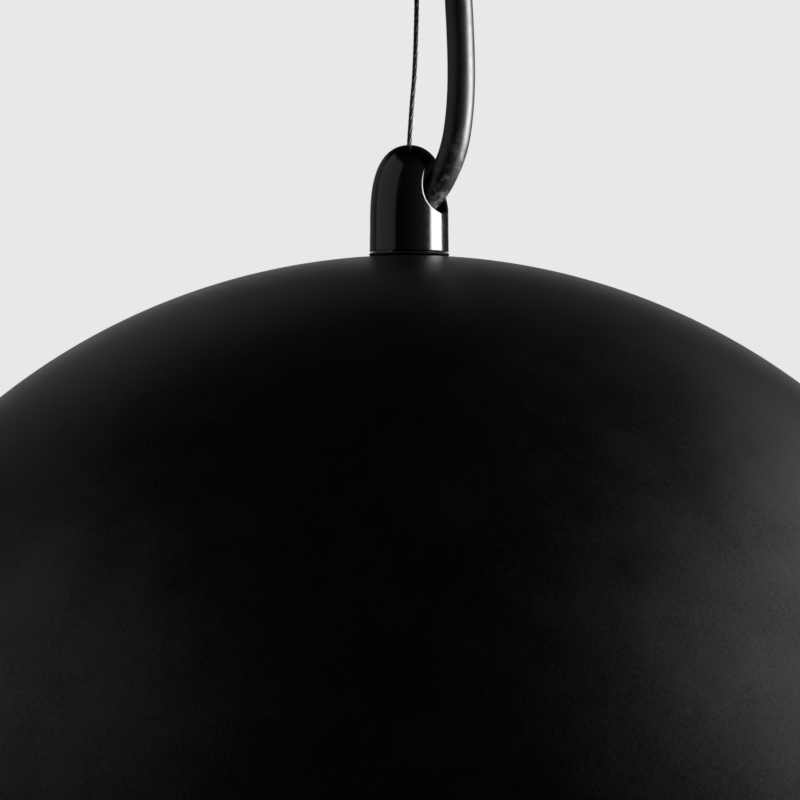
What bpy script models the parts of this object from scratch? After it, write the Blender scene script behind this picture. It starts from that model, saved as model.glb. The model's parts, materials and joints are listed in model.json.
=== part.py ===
"""A dome pendant light: a deep black shade on a thin steel rope, with its power cord beside the rope.

The frame is the ceiling: the origin is the middle of the bracket's top face, +Z is up, +X is the
side on which the cord leaves the head, and -Y is the front. Sizes are in millimetres until mm().
"""

import math

import bmesh
import bpy
from mathutils import Vector

# Driving dimensions, in millimetres.
SHADE_RADIUS = 175.0
SHADE_WALL = 1.2
APEX_Z = -130.0
HEAD_RADIUS = 10.6
HEAD_HEIGHT = 28.65
CORD_RADIUS = 3.7
ROPE_RADIUS = 0.6
CANOPY_RADIUS = 55.0
CANOPY_HEIGHT = 30.0
PIVOT_Z = -37.0
GLAND_X = 14.4
THREAD_RADIUS = 5.0
CORE_RADIUS = 1.1
GAP = 0.3
BORE_RADIUS = THREAD_RADIUS + GAP

# The cord's bore in the head: turned from +X towards the front, and rising from the head's axis.
BORE_TURN = math.radians(27)
BORE_RISE = math.radians(43)


def mm(value):
    """Millimetres as Blender's metres."""
    return value / 1000


# Scene, materials and the empties that the pieces hang from.

for old in list(bpy.data.objects):
    bpy.data.objects.remove(old, do_unlink=True)


def paint(name, colour, roughness, metallic=0.0):
    made = bpy.data.materials.new(name)
    made.use_nodes = True
    shader = made.node_tree.nodes["Principled BSDF"]
    shader.inputs["Base Color"].default_value = (*colour, 1)
    shader.inputs["Roughness"].default_value = roughness
    shader.inputs["Metallic"].default_value = metallic
    return made


MATT_BLACK = paint("matt_black_lacquer", (0.02, 0.02, 0.021), 0.7)
GLOSS_BLACK = paint("gloss_black", (0.01, 0.01, 0.011), 0.12)
CORD_BLACK = paint("cord_sheath", (0.015, 0.015, 0.016), 0.35)
RUBBER = paint("black_rubber", (0.03, 0.03, 0.03), 0.8)
STEEL = paint("steel", (0.55, 0.56, 0.57), 0.35, 1.0)
ROPE_STEEL = paint("steel_rope", (0.25, 0.27, 0.26), 0.45, 1.0)
BRASS = paint("brass", (0.72, 0.55, 0.25), 0.35, 1.0)
NICKEL = paint("nickel", (0.7, 0.7, 0.68), 0.25, 1.0)
NYLON = paint("white_nylon", (0.85, 0.85, 0.82), 0.5)
BAKELITE = paint("black_bakelite", (0.02, 0.02, 0.02), 0.35)
CERAMIC = paint("porcelain", (0.86, 0.85, 0.82), 0.3)
OPAL = paint("opal_diffuser", (0.9, 0.9, 0.88), 0.4)
BROWN = paint("brown_core", (0.2, 0.08, 0.03), 0.5)
BLUE = paint("blue_core", (0.03, 0.12, 0.45), 0.5)
GREEN = paint("green_yellow_core", (0.35, 0.5, 0.05), 0.5)


def empty(name, z, parent=None):
    """An empty on the lamp's axis; z is measured from its parent."""
    made = bpy.data.objects.new(name, None)
    bpy.context.scene.collection.objects.link(made)
    made.parent = parent
    made.location = (0, 0, mm(z))
    return made


CEILING = empty("ceiling_frame", 0)
PLUNGER_AXIS = empty("plunger_axis", PIVOT_Z, CEILING)
SWING_FORE = empty("swing_fore_pivot", PIVOT_Z, CEILING)
SWING_SIDE = empty("swing_side_pivot", 0, SWING_FORE)
APEX = empty("shade_apex", APEX_Z - PIVOT_Z, SWING_SIDE)
BULB_AXIS = empty("bulb_axis", 0, APEX)


# Ways of making a piece.


def finish(name, bm, material, parent):
    """Turns a bmesh in metres into a named piece that hangs from parent."""
    bmesh.ops.remove_doubles(bm, verts=bm.verts, dist=1e-6)
    bmesh.ops.recalc_face_normals(bm, faces=bm.faces)
    mesh = bpy.data.meshes.new(name)
    bm.to_mesh(mesh)
    bm.free()
    mesh.materials.append(material)
    mesh.shade_smooth()
    mesh.set_sharp_from_angle(angle=math.radians(35))
    made = bpy.data.objects.new(name, mesh)
    bpy.context.scene.collection.objects.link(made)
    made.parent = parent
    return made


def turned(name, profile, material, parent, sides=24, at=(0, 0)):
    """A piece turned about Z from a closed loop of (radius, height) points."""
    bm = bmesh.new()
    verts = [bm.verts.new((mm(r), 0, mm(z))) for r, z in profile]
    edges = []
    for first, second in zip(verts, verts[1:] + verts[:1]):
        if max(first.co.x, second.co.x) > 1e-7:
            edges.append(bm.edges.new((first, second)))
    bmesh.ops.spin(
        bm,
        geom=verts + edges,
        cent=(0, 0, 0),
        axis=(0, 0, 1),
        angle=math.tau,
        steps=sides,
        use_merge=True,
    )
    bmesh.ops.translate(bm, vec=(mm(at[0]), mm(at[1]), 0), verts=bm.verts)
    return finish(name, bm, material, parent)


def ring(name, inner, outer, low, high, material, parent, sides=24, at=(0, 0)):
    """A plain washer, sleeve or disc between two heights."""
    profile = [(inner, high), (outer, high), (outer, low), (inner, low)]
    return turned(name, profile, material, parent, sides, at)


def prism(name, outline, low, high, material, parent):
    """A flat outline of (x, y) points, raised from low to high."""
    bm = bmesh.new()
    face = bm.faces.new([bm.verts.new((mm(x), mm(y), mm(low))) for x, y in outline])
    top = bmesh.ops.extrude_face_region(bm, geom=[face])["geom"]
    moved = [part for part in top if isinstance(part, bmesh.types.BMVert)]
    bmesh.ops.translate(bm, vec=(0, 0, mm(high - low)), verts=moved)
    return finish(name, bm, material, parent)


def block(name, low, high, material, parent):
    """A box between two corners."""
    outline = [(low[0], low[1]), (high[0], low[1]), (high[0], high[1]), (low[0], high[1])]
    return prism(name, outline, low[2], high[2], material, parent)


def rod(name, start, end, radius, material, parent, sides=12):
    """A plain round bar between two points."""
    start, end = Vector(start), Vector(end)
    bm = bmesh.new()
    bmesh.ops.create_cone(
        bm,
        cap_ends=True,
        segments=sides,
        radius1=mm(radius),
        radius2=mm(radius),
        depth=mm((end - start).length),
    )
    turn = (end - start).to_track_quat("Z", "Y").to_matrix()
    bmesh.ops.rotate(bm, cent=(0, 0, 0), matrix=turn, verts=bm.verts)
    middle = (start + end) / 2
    bmesh.ops.translate(bm, vec=[mm(v) for v in middle], verts=bm.verts)
    return finish(name, bm, material, parent)


def cut(piece, cutter):
    """Takes a hidden cutter out of a piece."""
    cutter.hide_render = True
    cutter.display_type = "WIRE"
    modifier = piece.modifiers.new("cut_" + cutter.name, "BOOLEAN")
    modifier.object = cutter
    modifier.operation = "DIFFERENCE"


def smooth_route(points, steps):
    """Points along a smooth Catmull-Rom curve through the given ones."""
    spots = [Vector(p) for p in points]
    spots = [2 * spots[0] - spots[1], *spots, 2 * spots[-1] - spots[-2]]
    route = []
    for a, b, c, d in zip(spots, spots[1:], spots[2:], spots[3:]):
        for step in range(steps):
            t = step / steps
            route.append(
                b
                + (c - a) * (t / 2)
                + (2 * a - 5 * b + 4 * c - d) * (t * t / 2)
                + (3 * b - a - 3 * c + d) * (t**3 / 2)
            )
    return [*route, spots[-2]]


def flex(name, route, radius, material, parent, resolution=2):
    """A cord, core or rope: a round tube along its route."""
    curve = bpy.data.curves.new(name, "CURVE")
    curve.dimensions = "3D"
    curve.bevel_depth = mm(radius)
    curve.bevel_resolution = resolution
    curve.use_fill_caps = True
    spline = curve.splines.new("POLY")
    spline.points.add(len(route) - 1)
    for point, spot in zip(spline.points, route):
        point.co = (mm(spot[0]), mm(spot[1]), mm(spot[2]), 1)
    curve.materials.append(material)
    made = bpy.data.objects.new(name, curve)
    bpy.context.scene.collection.objects.link(made)
    made.parent = parent
    return made


def slot_cutter(name, middle, length, width, low, high):
    """A cutter for a round-ended slot that runs along Y."""
    half, bend = (length - width) / 2, width / 2
    outline = []
    for side, start in ((1, 0), (-1, math.pi)):
        for step in range(7):
            angle = start + math.pi * step / 6
            x = middle[0] + bend * math.cos(angle)
            outline.append((x, middle[1] + side * half + bend * math.sin(angle)))
    return prism(name, outline, low, high, STEEL, CEILING)


def hexagon(flats, at=(0, 0)):
    """The corners of a hexagon nut with this width across its flats."""
    corner = flats / math.sqrt(3)
    turns = [math.radians(60 * k + 30) for k in range(6)]
    return [(at[0] + corner * math.cos(t), at[1] + corner * math.sin(t)) for t in turns]


# Ceiling fixing: a T-shaped steel bracket with a threaded boss under its middle.

BRACKET_THICKNESS = 2.0
BRACKET_HALF_WIDTH = 9.0
BRACKET_HALF_LENGTH = 46.0
BRACKET_ARM = 41.0
BOSS_RADIUS = 7.5
BOSS_Z = -9.0
STUD_RADIUS = 4.0
SLOT_LENGTH = 14.0
SLOT_WIDTH = 5.5
SLOT_Y = 32.0


def ceiling_bracket():
    w, length, arm = BRACKET_HALF_WIDTH, BRACKET_HALF_LENGTH, BRACKET_ARM
    outline = [(w, -length), (w, length), (-w, length), (-w, w), (-arm, w), (-arm, -w), (-w, -w), (-w, -length)]
    strip = prism("ceiling_bracket", outline, -BRACKET_THICKNESS, 0, STEEL, CEILING)
    boss = ring("boss_union", STUD_RADIUS + GAP, BOSS_RADIUS, BOSS_Z, -1.0, STEEL, CEILING)
    boss.hide_render = True
    boss.display_type = "WIRE"
    join = strip.modifiers.new("boss", "BOOLEAN")
    join.object = boss
    join.operation = "UNION"
    for side in (-1, 1):
        name = f"slot_cutter_{side}"
        cut(strip, slot_cutter(name, (0, side * SLOT_Y), SLOT_LENGTH, SLOT_WIDTH, -4, 2))


ceiling_bracket()


# Rope gripper: a turned housing that holds the rope with three balls, let go by a sprung plunger.

HOUSING_RADIUS = 6.0
NECK_RADIUS = 4.0
NECK_END_Z = -34.6
CHAMBER_RADIUS = 3.2
CHAMBER_TOP_Z = -22.0
PLUNGER_NOSE = 1.8
PLUNGER_TRAVEL = 2.5
ROPE_BORE = 1.0

turned(
    "gripper_housing",
    [
        (0, -3),
        (STUD_RADIUS, -3),
        (STUD_RADIUS, -9.3),
        (HOUSING_RADIUS - 0.5, -9.3),
        (HOUSING_RADIUS, -9.8),
        (HOUSING_RADIUS, -24),
        (NECK_RADIUS, -25),
        (NECK_RADIUS, NECK_END_Z),
        (PLUNGER_NOSE + 0.35, NECK_END_Z),
        (PLUNGER_NOSE + 0.35, -33),
        (CHAMBER_RADIUS, -33),
        (CHAMBER_RADIUS, CHAMBER_TOP_Z),
        (2.4, CHAMBER_TOP_Z),
        (2.4, -13),
        (1.1, -12),
        (0, -12),
    ],
    NICKEL,
    CEILING,
)

# The plunger hangs from its own axis, so its heights count from the nose's tip.
turned(
    "gripper_plunger",
    [
        (ROPE_BORE, 17),
        (1.6, 17),
        (1.6, 7),
        (2.75, 7),
        (2.75, 5.3),
        (PLUNGER_NOSE, 5.3),
        (PLUNGER_NOSE, 0.4),
        (PLUNGER_NOSE - 0.3, 0),
        (1.35, 0),
        (ROPE_BORE, 1.2),
    ],
    NICKEL,
    PLUNGER_AXIS,
    16,
)

BALL_RADIUS = 0.65
BALL_CIRCLE = ROPE_RADIUS + BALL_RADIUS + GAP

for number in range(3):
    bm = bmesh.new()
    bmesh.ops.create_uvsphere(bm, u_segments=10, v_segments=6, radius=mm(BALL_RADIUS))
    angle = math.tau * number / 3
    spot = (mm(BALL_CIRCLE * math.cos(angle)), mm(BALL_CIRCLE * math.sin(angle)), mm(18.2))
    bmesh.ops.translate(bm, vec=spot, verts=bm.verts)
    finish(f"gripper_ball_{number + 1}", bm, STEEL, PLUNGER_AXIS)

SPRING_COIL = 2.8
SPRING_WIRE = 0.22
SPRING_TURNS = 4
SPRING_LOW_Z = -29.4
SPRING_HIGH_Z = -22.6

spring_route = []
for step in range(SPRING_TURNS * 12 + 1):
    angle = math.tau * step / 12
    share = step / (SPRING_TURNS * 12)
    height = SPRING_LOW_Z + (SPRING_HIGH_Z - SPRING_LOW_Z) * share
    spring_route.append((SPRING_COIL * math.cos(angle), SPRING_COIL * math.sin(angle), height))
flex("gripper_spring", spring_route, SPRING_WIRE, STEEL, CEILING, 0)

# The end of the rope that the gripper holds stays above the pivot.
flex("rope_tail", [(0, 0, PIVOT_Z + 0.8), (0, 0, -25), (0, 0, -13.5)], ROPE_RADIUS, ROPE_STEEL, CEILING)


# Canopy: a spun cup that hides the fixing, with its knurled nut on the gripper's neck.

CANOPY_WALL = 1.5
CANOPY_TOP_Z = -0.5
CANOPY_FILLET = 7.0
GLAND_HOLE = 6.1


def quarter(centre_r, centre_z, radius, start, end, steps):
    """Points on an arc in the turning plane, in degrees from +R towards +Z."""
    points = []
    for step in range(steps + 1):
        angle = math.radians(start + (end - start) * step / steps)
        points.append((centre_r + radius * math.cos(angle), centre_z + radius * math.sin(angle)))
    return points


def canopy():
    corner_r = CANOPY_RADIUS - CANOPY_FILLET
    corner_z = -CANOPY_HEIGHT + CANOPY_FILLET
    profile = [(CANOPY_RADIUS, CANOPY_TOP_Z)]
    profile += quarter(corner_r, corner_z, CANOPY_FILLET, 0, -90, 5)
    profile += [(NECK_RADIUS + 0.4, -CANOPY_HEIGHT), (NECK_RADIUS + 0.4, -CANOPY_HEIGHT + CANOPY_WALL)]
    profile += quarter(corner_r, corner_z, CANOPY_FILLET - CANOPY_WALL, -90, 0, 4)
    profile += [(CANOPY_RADIUS - CANOPY_WALL, CANOPY_TOP_Z)]
    cup = turned("canopy", profile, MATT_BLACK, CEILING, 40)
    cut(cup, rod("gland_cutter", (GLAND_X, 0, -36), (GLAND_X, 0, -20), GLAND_HOLE, STEEL, CEILING, 24))


canopy()

NUT_TOP_Z = -CANOPY_HEIGHT - GAP
ring("canopy_nut", NECK_RADIUS + GAP, 6.2, NUT_TOP_Z - 4, NUT_TOP_Z, GLOSS_BLACK, CEILING, 32)


# Cord gland: a threaded cup in the canopy floor, its nut, and the rubber boot that tilts in it.

SEAT_RADIUS = 6.5
BOOT_HEAD = 6.2
BOOT_BORE = CORD_RADIUS + GAP
BOOT_NECK = 4.75
BOOT_END = 4.9
BOOT_END_BORE = 4.25
BOOT_LENGTH = 17.0
GLAND_OUTER = 7.8
GLAND_LIP = PIVOT_Z - 2.75

gland_profile = [
    (BOOT_BORE + 0.3, -20),
    (5.8, -20),
    (5.8, NUT_TOP_Z),
    (GLAND_OUTER - 0.8, NUT_TOP_Z),
    (GLAND_OUTER, NUT_TOP_Z - 0.8),
    (GLAND_OUTER, GLAND_LIP + 1.5),
    (GLAND_OUTER - 1.3, GLAND_LIP),
]
gland_profile += quarter(0, PIVOT_Z, SEAT_RADIUS, -23, 40, 5)
gland_profile += [(BOOT_BORE + 0.3, -32)]
turned("cord_gland", gland_profile, GLOSS_BLACK, CEILING, 24, (GLAND_X, 0))

nut = prism("gland_nut", hexagon(14.6, (GLAND_X, 0)), -28.2, -24, NYLON, CEILING)
cut(nut, rod("gland_nut_cutter", (GLAND_X, 0, -30), (GLAND_X, 0, -22), GLAND_HOLE, STEEL, CEILING, 24))

boot_profile = [(BOOT_BORE, 3.47)]
boot_profile += quarter(0, 0, BOOT_HEAD, 34, -35, 6)
boot_profile += [(BOOT_NECK, -4.2), (BOOT_END, -BOOT_LENGTH), (BOOT_END_BORE, -BOOT_LENGTH)]
boot_profile += [(BOOT_BORE, -BOOT_LENGTH + 5)]
turned("cord_boot", boot_profile, RUBBER, SWING_FORE, 24, (GLAND_X, 0))


# Terminal block under the bracket's arm: a nylon body, three brass tubes and their screws.

POLE_YS = (-7.0, 0.0, 7.0)
POLE_Z = -10.0
BLOCK_LOW = (-38.0, -11.5, -16.0)
BLOCK_HIGH = (-18.0, 11.5, -4.6)
TUBE_RADIUS = 1.9
SCREW_XS = (-33.0, -23.0)

nylon = block("terminal_block", BLOCK_LOW, BLOCK_HIGH, NYLON, CEILING)
for number, y in enumerate(POLE_YS):
    cut(nylon, rod(f"pole_cutter_{number}", (-45, y, POLE_Z), (-10, y, POLE_Z), 2.2, STEEL, CEILING, 12))
    ends = ((-36, y, POLE_Z), (-20, y, POLE_Z))
    brass = rod(f"terminal_tube_{number + 1}", *ends, TUBE_RADIUS, BRASS, CEILING, 12)
    cut(brass, rod(f"tube_cutter_{number}", (-45, y, POLE_Z), (-10, y, POLE_Z), 1.4, STEEL, CEILING, 12))
    for half, x in enumerate(SCREW_XS):
        key = number * 2 + half + 1
        cut(nylon, rod(f"screw_cutter_{key}", (x, y, -20), (x, y, -11.5), 1.7, STEEL, CEILING, 12))
        rod(f"terminal_screw_{key}", (x, y, -15.6), (x, y, -12.25), 1.35, STEEL, CEILING, 10)

rod("block_rivet", (-28, 0, -4.3), (-28, 0, -2.3), 3.0, STEEL, CEILING, 16)

# The three cores between the cord's end and the block go round the gripper's housing.
CORD_TOP_Z = -18.0
CORE_TOP_SPOTS = {
    "core_live_top": ((0, 1.9), 7.0, BROWN, [(11, 8.0, -11.5), (0, 10.2, -10), (-11, 9.0, -10)]),
    "core_neutral_top": ((0, -1.9), -7.0, BLUE, [(11, -8.0, -11.5), (0, -10.2, -10), (-11, -9.0, -10)]),
    "core_earth_top": (
        (2.0, 0),
        0.0,
        GREEN,
        [(15, 7, -14.6), (4, 13.2, -13.4), (-10, 8.5, -13.3), (-14, 2, -11)],
    ),
}
for name, (offset, pole_y, colour, bend) in CORE_TOP_SPOTS.items():
    start_x = GLAND_X + offset[0]
    route = [(start_x, offset[1], CORD_TOP_Z + GAP), (start_x - 0.5, offset[1] * 1.3, CORD_TOP_Z + 3)]
    route += [*bend, (-18.0, pole_y, POLE_Z), (-20.5, pole_y, POLE_Z)]
    flex(name, smooth_route(route, 3), CORE_RADIUS, colour, CEILING, 0)


# Rope and cord, in the shade's frame: each follows a smooth curve through its own points.

HEAD_BASE = 1.05
HEAD_TOP = HEAD_BASE + HEAD_HEIGHT
PIVOT_ABOVE_APEX = PIVOT_Z - APEX_Z
FERRULE_LOW = HEAD_BASE + 17.6
FERRULE_LENGTH = 5.0

ROPE_POINTS = [
    (0, 0, FERRULE_LOW),
    (0, 0, 24),
    (0.03, 0, HEAD_TOP),
    (0.36, 0, 35),
    (0.78, 0, 41),
    (1.33, 0, 47.5),
    (1.65, 0, 54),
    (1.86, 0, 61),
    (1.98, 0, 68),
    (1.72, 0, 75),
    (1.1, 0, 82),
    (0.4, 0, 88.5),
    (0, 0, PIVOT_ABOVE_APEX + 0.45),
]
flex("suspension_rope", smooth_route(ROPE_POINTS, 4), ROPE_RADIUS, ROPE_STEEL, APEX)

CORD_POINTS = [
    (2.9, -1.5, 13.4),
    (4.8, -2.5, 15.4),
    (6.7, -3.45, 17.4),
    (8.55, -4.5, 20.3),
    (10.05, -5.4, 23.4),
    (11.3, -6.1, 26.5),
    (12.5, -6.6, 31.0),
    (13.3, -6.6, 36.8),
    (13.7, -6.2, 42.4),
    (13.84, -5.4, 48.0),
    (13.78, -4.2, 54.5),
    (13.53, -2.8, 61.9),
    (13.2, -1.5, 68.3),
    (13.28, -1.13, 70.5),
    (13.55, -0.68, 72.8),
    (13.98, -0.28, 75.2),
    (14.3, -0.07, 77.6),
    (GLAND_X, 0, 80.5),
    (GLAND_X, 0, 86),
    (GLAND_X, 0, PIVOT_ABOVE_APEX),
]
flex("power_cord", smooth_route(CORD_POINTS, 2), CORD_RADIUS, CORD_BLACK, APEX)

# The cord's held end stays in the gland, above the boot that tilts.
TAIL_ROUTE = [(GLAND_X, 0, PIVOT_Z + 4.9), (GLAND_X, 0, -28), (GLAND_X, 0, CORD_TOP_Z)]
flex("cord_tail", TAIL_ROUTE, CORD_RADIUS, CORD_BLACK, CEILING)

ferrule_profile = [
    (ROPE_RADIUS + GAP, FERRULE_LOW + FERRULE_LENGTH),
    (1.8, FERRULE_LOW + FERRULE_LENGTH),
    (2.1, FERRULE_LOW + FERRULE_LENGTH - 0.4),
    (2.1, FERRULE_LOW),
    (ROPE_RADIUS + GAP, FERRULE_LOW),
]
turned("rope_ferrule", ferrule_profile, NICKEL, APEX, 14)


# Head: the round-topped fitting that the rope pulls on and the cord enters at its side.

SHOULDER = 5.95
CORD_BORE = 5.75
CORD_BORE_MEETS = HEAD_BASE + 9.35


def head_radius(height):
    """The head's outer radius at a height above its base: a slight draft, then a bullet's nose."""
    above = max(0.0, (height - SHOULDER) / (HEAD_HEIGHT - SHOULDER))
    below = max(0.0, SHOULDER - height)
    return (HEAD_RADIUS - 0.1 + 0.0168 * below) * max(0.0, 1 - above**3) ** (1 / 2.2)


def head():
    heights = [0, SHOULDER, 12, 15.5, 18.5, 21, 23, 24.7, 26, 27.1, 27.9, 28.4]
    profile = [(0, HEAD_BASE)] + [(head_radius(h), HEAD_BASE + h) for h in heights] + [(0, HEAD_TOP)]
    body = turned("head", profile[::-1], GLOSS_BLACK, APEX, 32)
    meet = Vector((0, 0, CORD_BORE_MEETS))
    level = math.cos(BORE_RISE)
    along = Vector((level * math.cos(BORE_TURN), -level * math.sin(BORE_TURN), math.sin(BORE_RISE)))
    cut(body, rod("cord_bore_cutter", meet - along * 1.0, meet + along * 34, CORD_BORE, STEEL, APEX, 24))
    cut(body, rod("thread_cutter", (0, 0, -2), (0, 0, HEAD_BASE + 9), BORE_RADIUS, STEEL, APEX, 24))
    cut(body, rod("ferrule_cutter", (0, 0, HEAD_BASE + 8), (0, 0, HEAD_BASE + 22.9), 2.6, STEEL, APEX, 16))
    cut(body, rod("rope_cutter", (0, 0, HEAD_BASE + 20), (0, 0, HEAD_BASE + 34), 1.0, STEEL, APEX, 12))
    cut(body, rod("grub_cutter", (0, 4, HEAD_BASE + 2.6), (0, 14, HEAD_BASE + 2.6), 1.8, STEEL, APEX, 12))


head()
rod("head_grub_screw", (0, 5.5, HEAD_BASE + 2.6), (0, 9.9, HEAD_BASE + 2.6), 1.5, STEEL, APEX, 12)
ring("head_gasket", BORE_RADIUS, HEAD_RADIUS + 0.1, 0, HEAD_BASE - GAP, RUBBER, APEX, 32)


# Shade: one spun half-sphere with a flat seat on top and a rolled rim.

SEAT_FLAT = 11.5
SEAT_DROP = 0.3
RIM_BEAD = 1.7


def shade():
    inner_radius = SHADE_RADIUS - SHADE_WALL
    bead_r, bead_z = SHADE_RADIUS - RIM_BEAD, RIM_BEAD - SHADE_RADIUS
    outside = [(BORE_RADIUS, -SEAT_DROP), (SEAT_FLAT, -SEAT_DROP)]
    outside += quarter(0, -SHADE_RADIUS, SHADE_RADIUS, 85.5, 4.5, 15)
    bead = quarter(bead_r, bead_z, RIM_BEAD, 0, -216, 6)
    inside = quarter(0, -SHADE_RADIUS, inner_radius, 4.5, 85.5, 15)
    under_seat = -SEAT_DROP - SHADE_WALL
    inside += [(SEAT_FLAT, under_seat), (BORE_RADIUS, under_seat)]
    turned("shade", outside + bead + inside, MATT_BLACK, APEX, 48)


shade()


# The stack that clamps the shade: hollow threaded tube, washer, toothed washer and hexagon nut.

TUBE_BORE = 4.0
ring("threaded_tube", TUBE_BORE, THREAD_RADIUS, -21, HEAD_BASE + 3.8, STEEL, APEX)
ring("backing_washer", BORE_RADIUS, 11.0, -3.3, -1.8, STEEL, APEX, 32)
ring("toothed_washer", BORE_RADIUS, 8.6, -4.4, -3.6, STEEL, APEX, 24)
lock = prism("lock_nut", hexagon(14), -8.7, -4.7, STEEL, APEX)
cut(lock, rod("lock_nut_cutter", (0, 0, -12), (0, 0, -2), BORE_RADIUS, STEEL, APEX, 24))


# Lamp holder: cap, porcelain insert, screw shell, threaded skirt and ring.

CAP_TOP = -11.0
CAP_END = -33.5
SKIRT_RADIUS = 20.0
SKIRT_END = -72.0
INSERT_TOP = -28.0
INSERT_END = -36.0
SHELL_RADIUS = 14.9
SHELL_BORE = 14.0

cap_profile = [(BORE_RADIUS, CAP_TOP), (7.5, CAP_TOP), (8.2, CAP_TOP - 0.7), (8.2, -17.5)]
cap_profile += quarter(12, -27, 8.4, 80, 0, 4)
cap_profile += [(20.4, CAP_END), (18.2, CAP_END), (18.2, -27)]
cap_profile += quarter(12, -27, 6.4, 12, 84, 3)
cap_profile += [(BORE_RADIUS, -20.2)]
cap = turned("holder_cap", cap_profile, BAKELITE, APEX, 28)
cut(cap, rod("cap_grub_cutter", (0, -12, -14), (0, -4, -14), 1.6, STEEL, APEX, 12))
rod("cap_grub_screw", (0, -9.4, -14), (0, -5.4, -14), 1.3, STEEL, APEX, 10)

insert = ring("holder_insert", 2.4, 17.6, INSERT_END, INSERT_TOP, CERAMIC, APEX, 28)
skirt_profile = [
    (18.0, CAP_END - GAP),
    (SKIRT_RADIUS, CAP_END - GAP),
    (SKIRT_RADIUS, SKIRT_END + 1),
    (SKIRT_RADIUS - 1, SKIRT_END),
    (SHELL_RADIUS + 1.2, SKIRT_END),
    (SHELL_RADIUS + 0.4, SKIRT_END + 1),
    (SHELL_RADIUS + 0.4, INSERT_END - 1.2),
    (18.0, INSERT_END - 1.2),
]
turned("holder_skirt", skirt_profile, BAKELITE, APEX, 28)
ring("screw_shell", SHELL_BORE, SHELL_RADIUS, -65, INSERT_END - GAP, BRASS, APEX, 28)
ring("holder_ring", SKIRT_RADIUS + GAP, 25.5, -52, -46, BAKELITE, APEX, 32)

centre = prism(
    "centre_contact",
    [(-9, 0), (3, -2.2), (3, -1.7), (-9, 0.6)],
    -2.5,
    2.5,
    BRASS,
    APEX,
)
centre.rotation_euler = (math.radians(90), 0, 0)
centre.location = (0, 0, mm(INSERT_END - 1.1))
block("side_contact", (-13.4, -2, -39.5), (-12.9, 2, INSERT_END - GAP), BRASS, APEX)

TERMINAL_BORE_Z = INSERT_TOP + 1.9
for name, side in (("live", 1), ("neutral", -1)):
    low, high = sorted((side * 6.8, side * 12.0))
    body = block(f"{name}_terminal", (low, -3.2, INSERT_TOP + GAP), (high, 3.2, -24.3), BRASS, APEX)
    bore = ((side * 4, 0, TERMINAL_BORE_Z), (side * 15, 0, TERMINAL_BORE_Z))
    cut(body, rod(f"{name}_terminal_cutter", *bore, 1.4, STEEL, APEX, 12))

CORE_TURN_Z = TERMINAL_BORE_Z + 0.2
CORE_ROUTES = {
    "core_live": (
        BROWN,
        [(3.8, -1.95, 11.8), (2.7, -0.7, 8.5), (2.1, 0, 4.5), (2.1, 0, -8), (2.1, 0, -20)],
        [(2.5, 0, -23.6), (4.4, 0, CORE_TURN_Z), (7, 0, TERMINAL_BORE_Z), (10, 0, TERMINAL_BORE_Z)],
    ),
    "core_neutral": (
        BLUE,
        [(1.5, -0.8, 14.6), (-0.9, -0.1, 11), (-2.1, 0, 6), (-2.1, 0, -8), (-2.1, 0, -20)],
        [(-2.5, 0, -23.6), (-4.4, 0, CORE_TURN_Z), (-7, 0, TERMINAL_BORE_Z), (-10, 0, TERMINAL_BORE_Z)],
    ),
    "core_earth": (
        GREEN,
        [(3.5, 0.3, 13.2), (1.4, 1.9, 9.5), (0, 2.1, 5.0), (0, 2.1, -8), (0, 2.1, -19)],
        [(0, 4.6, -23.4), (0, 8.6, -24.2), (0, 10.5, -25.3)],
    ),
}
for name, (colour, down, out) in CORE_ROUTES.items():
    flex(name, smooth_route(down + out, 3), CORE_RADIUS, colour, APEX, 0)
rod("earth_screw", (0, 10.5, -27.7), (0, 10.5, -26.6), 2.2, STEEL, APEX, 12)


# Bulb: contact and insulator, screw cap, collar with the light board, opal globe.

CONTACT_TOP = -41.2
BULB_CAP_RADIUS = 13.1
BULB_CAP_LOW = -67.0
BULB_RADIUS = 30.0
BULB_END = -150.0

CONTACT_BASE = CONTACT_TOP - 1.2
contact_profile = [(0, CONTACT_TOP), (3.2, CONTACT_TOP - 0.3), (4.6, CONTACT_BASE), (0, CONTACT_BASE)]
turned("bulb_contact", contact_profile, NICKEL, BULB_AXIS, 16)
insulator_profile = [(0, -42.7), (5.0, -42.7), (11.2, -45.6), (11.2, -46.4), (0, -46.4)]
turned("bulb_insulator", insulator_profile, BAKELITE, BULB_AXIS, 20)
bulb_cap_profile = [(11.8, -46.7), (12.4, -46.7), (BULB_CAP_RADIUS, -48.2), (BULB_CAP_RADIUS, BULB_CAP_LOW)]
bulb_cap_profile += [(12.5, BULB_CAP_LOW), (12.5, -48.5), (11.8, -47.3)]
turned("bulb_cap", bulb_cap_profile, NICKEL, BULB_AXIS, 24)

COLLAR_TOP = BULB_CAP_LOW - GAP
BOARD_Z = -103.0
collar_profile = [
    (11.0, COLLAR_TOP),
    (13.4, COLLAR_TOP),
    (14.6, -72),
    (19.0, -82),
    (25.2, -93),
    (28.6, -101),
    (29.4, -106),
    (27.6, -106),
    (26.8, -101),
    (23.6, -93),
    (17.4, -82),
    (12.6, -72),
]
turned("bulb_collar", collar_profile, NYLON, BULB_AXIS, 28)
ring("light_board", 2.0, 25.0, BOARD_Z, BOARD_Z + 1.6, CERAMIC, BULB_AXIS, 24)

globe_profile = [(28.9, -106.3), (BULB_RADIUS, -113)]
globe_profile += quarter(0, BULB_END + BULB_RADIUS, BULB_RADIUS, 0, -90, 7)
globe_profile += quarter(0, BULB_END + BULB_RADIUS, BULB_RADIUS - 1.2, -90, 0, 6)
globe_profile += [(BULB_RADIUS - 1.2, -113), (27.7, -106.3)]
turned("bulb_globe", globe_profile, OPAL, BULB_AXIS, 28)
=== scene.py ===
import json
import math

import bmesh
import bpy
import numpy as np
from mathutils import Matrix, Vector

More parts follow.
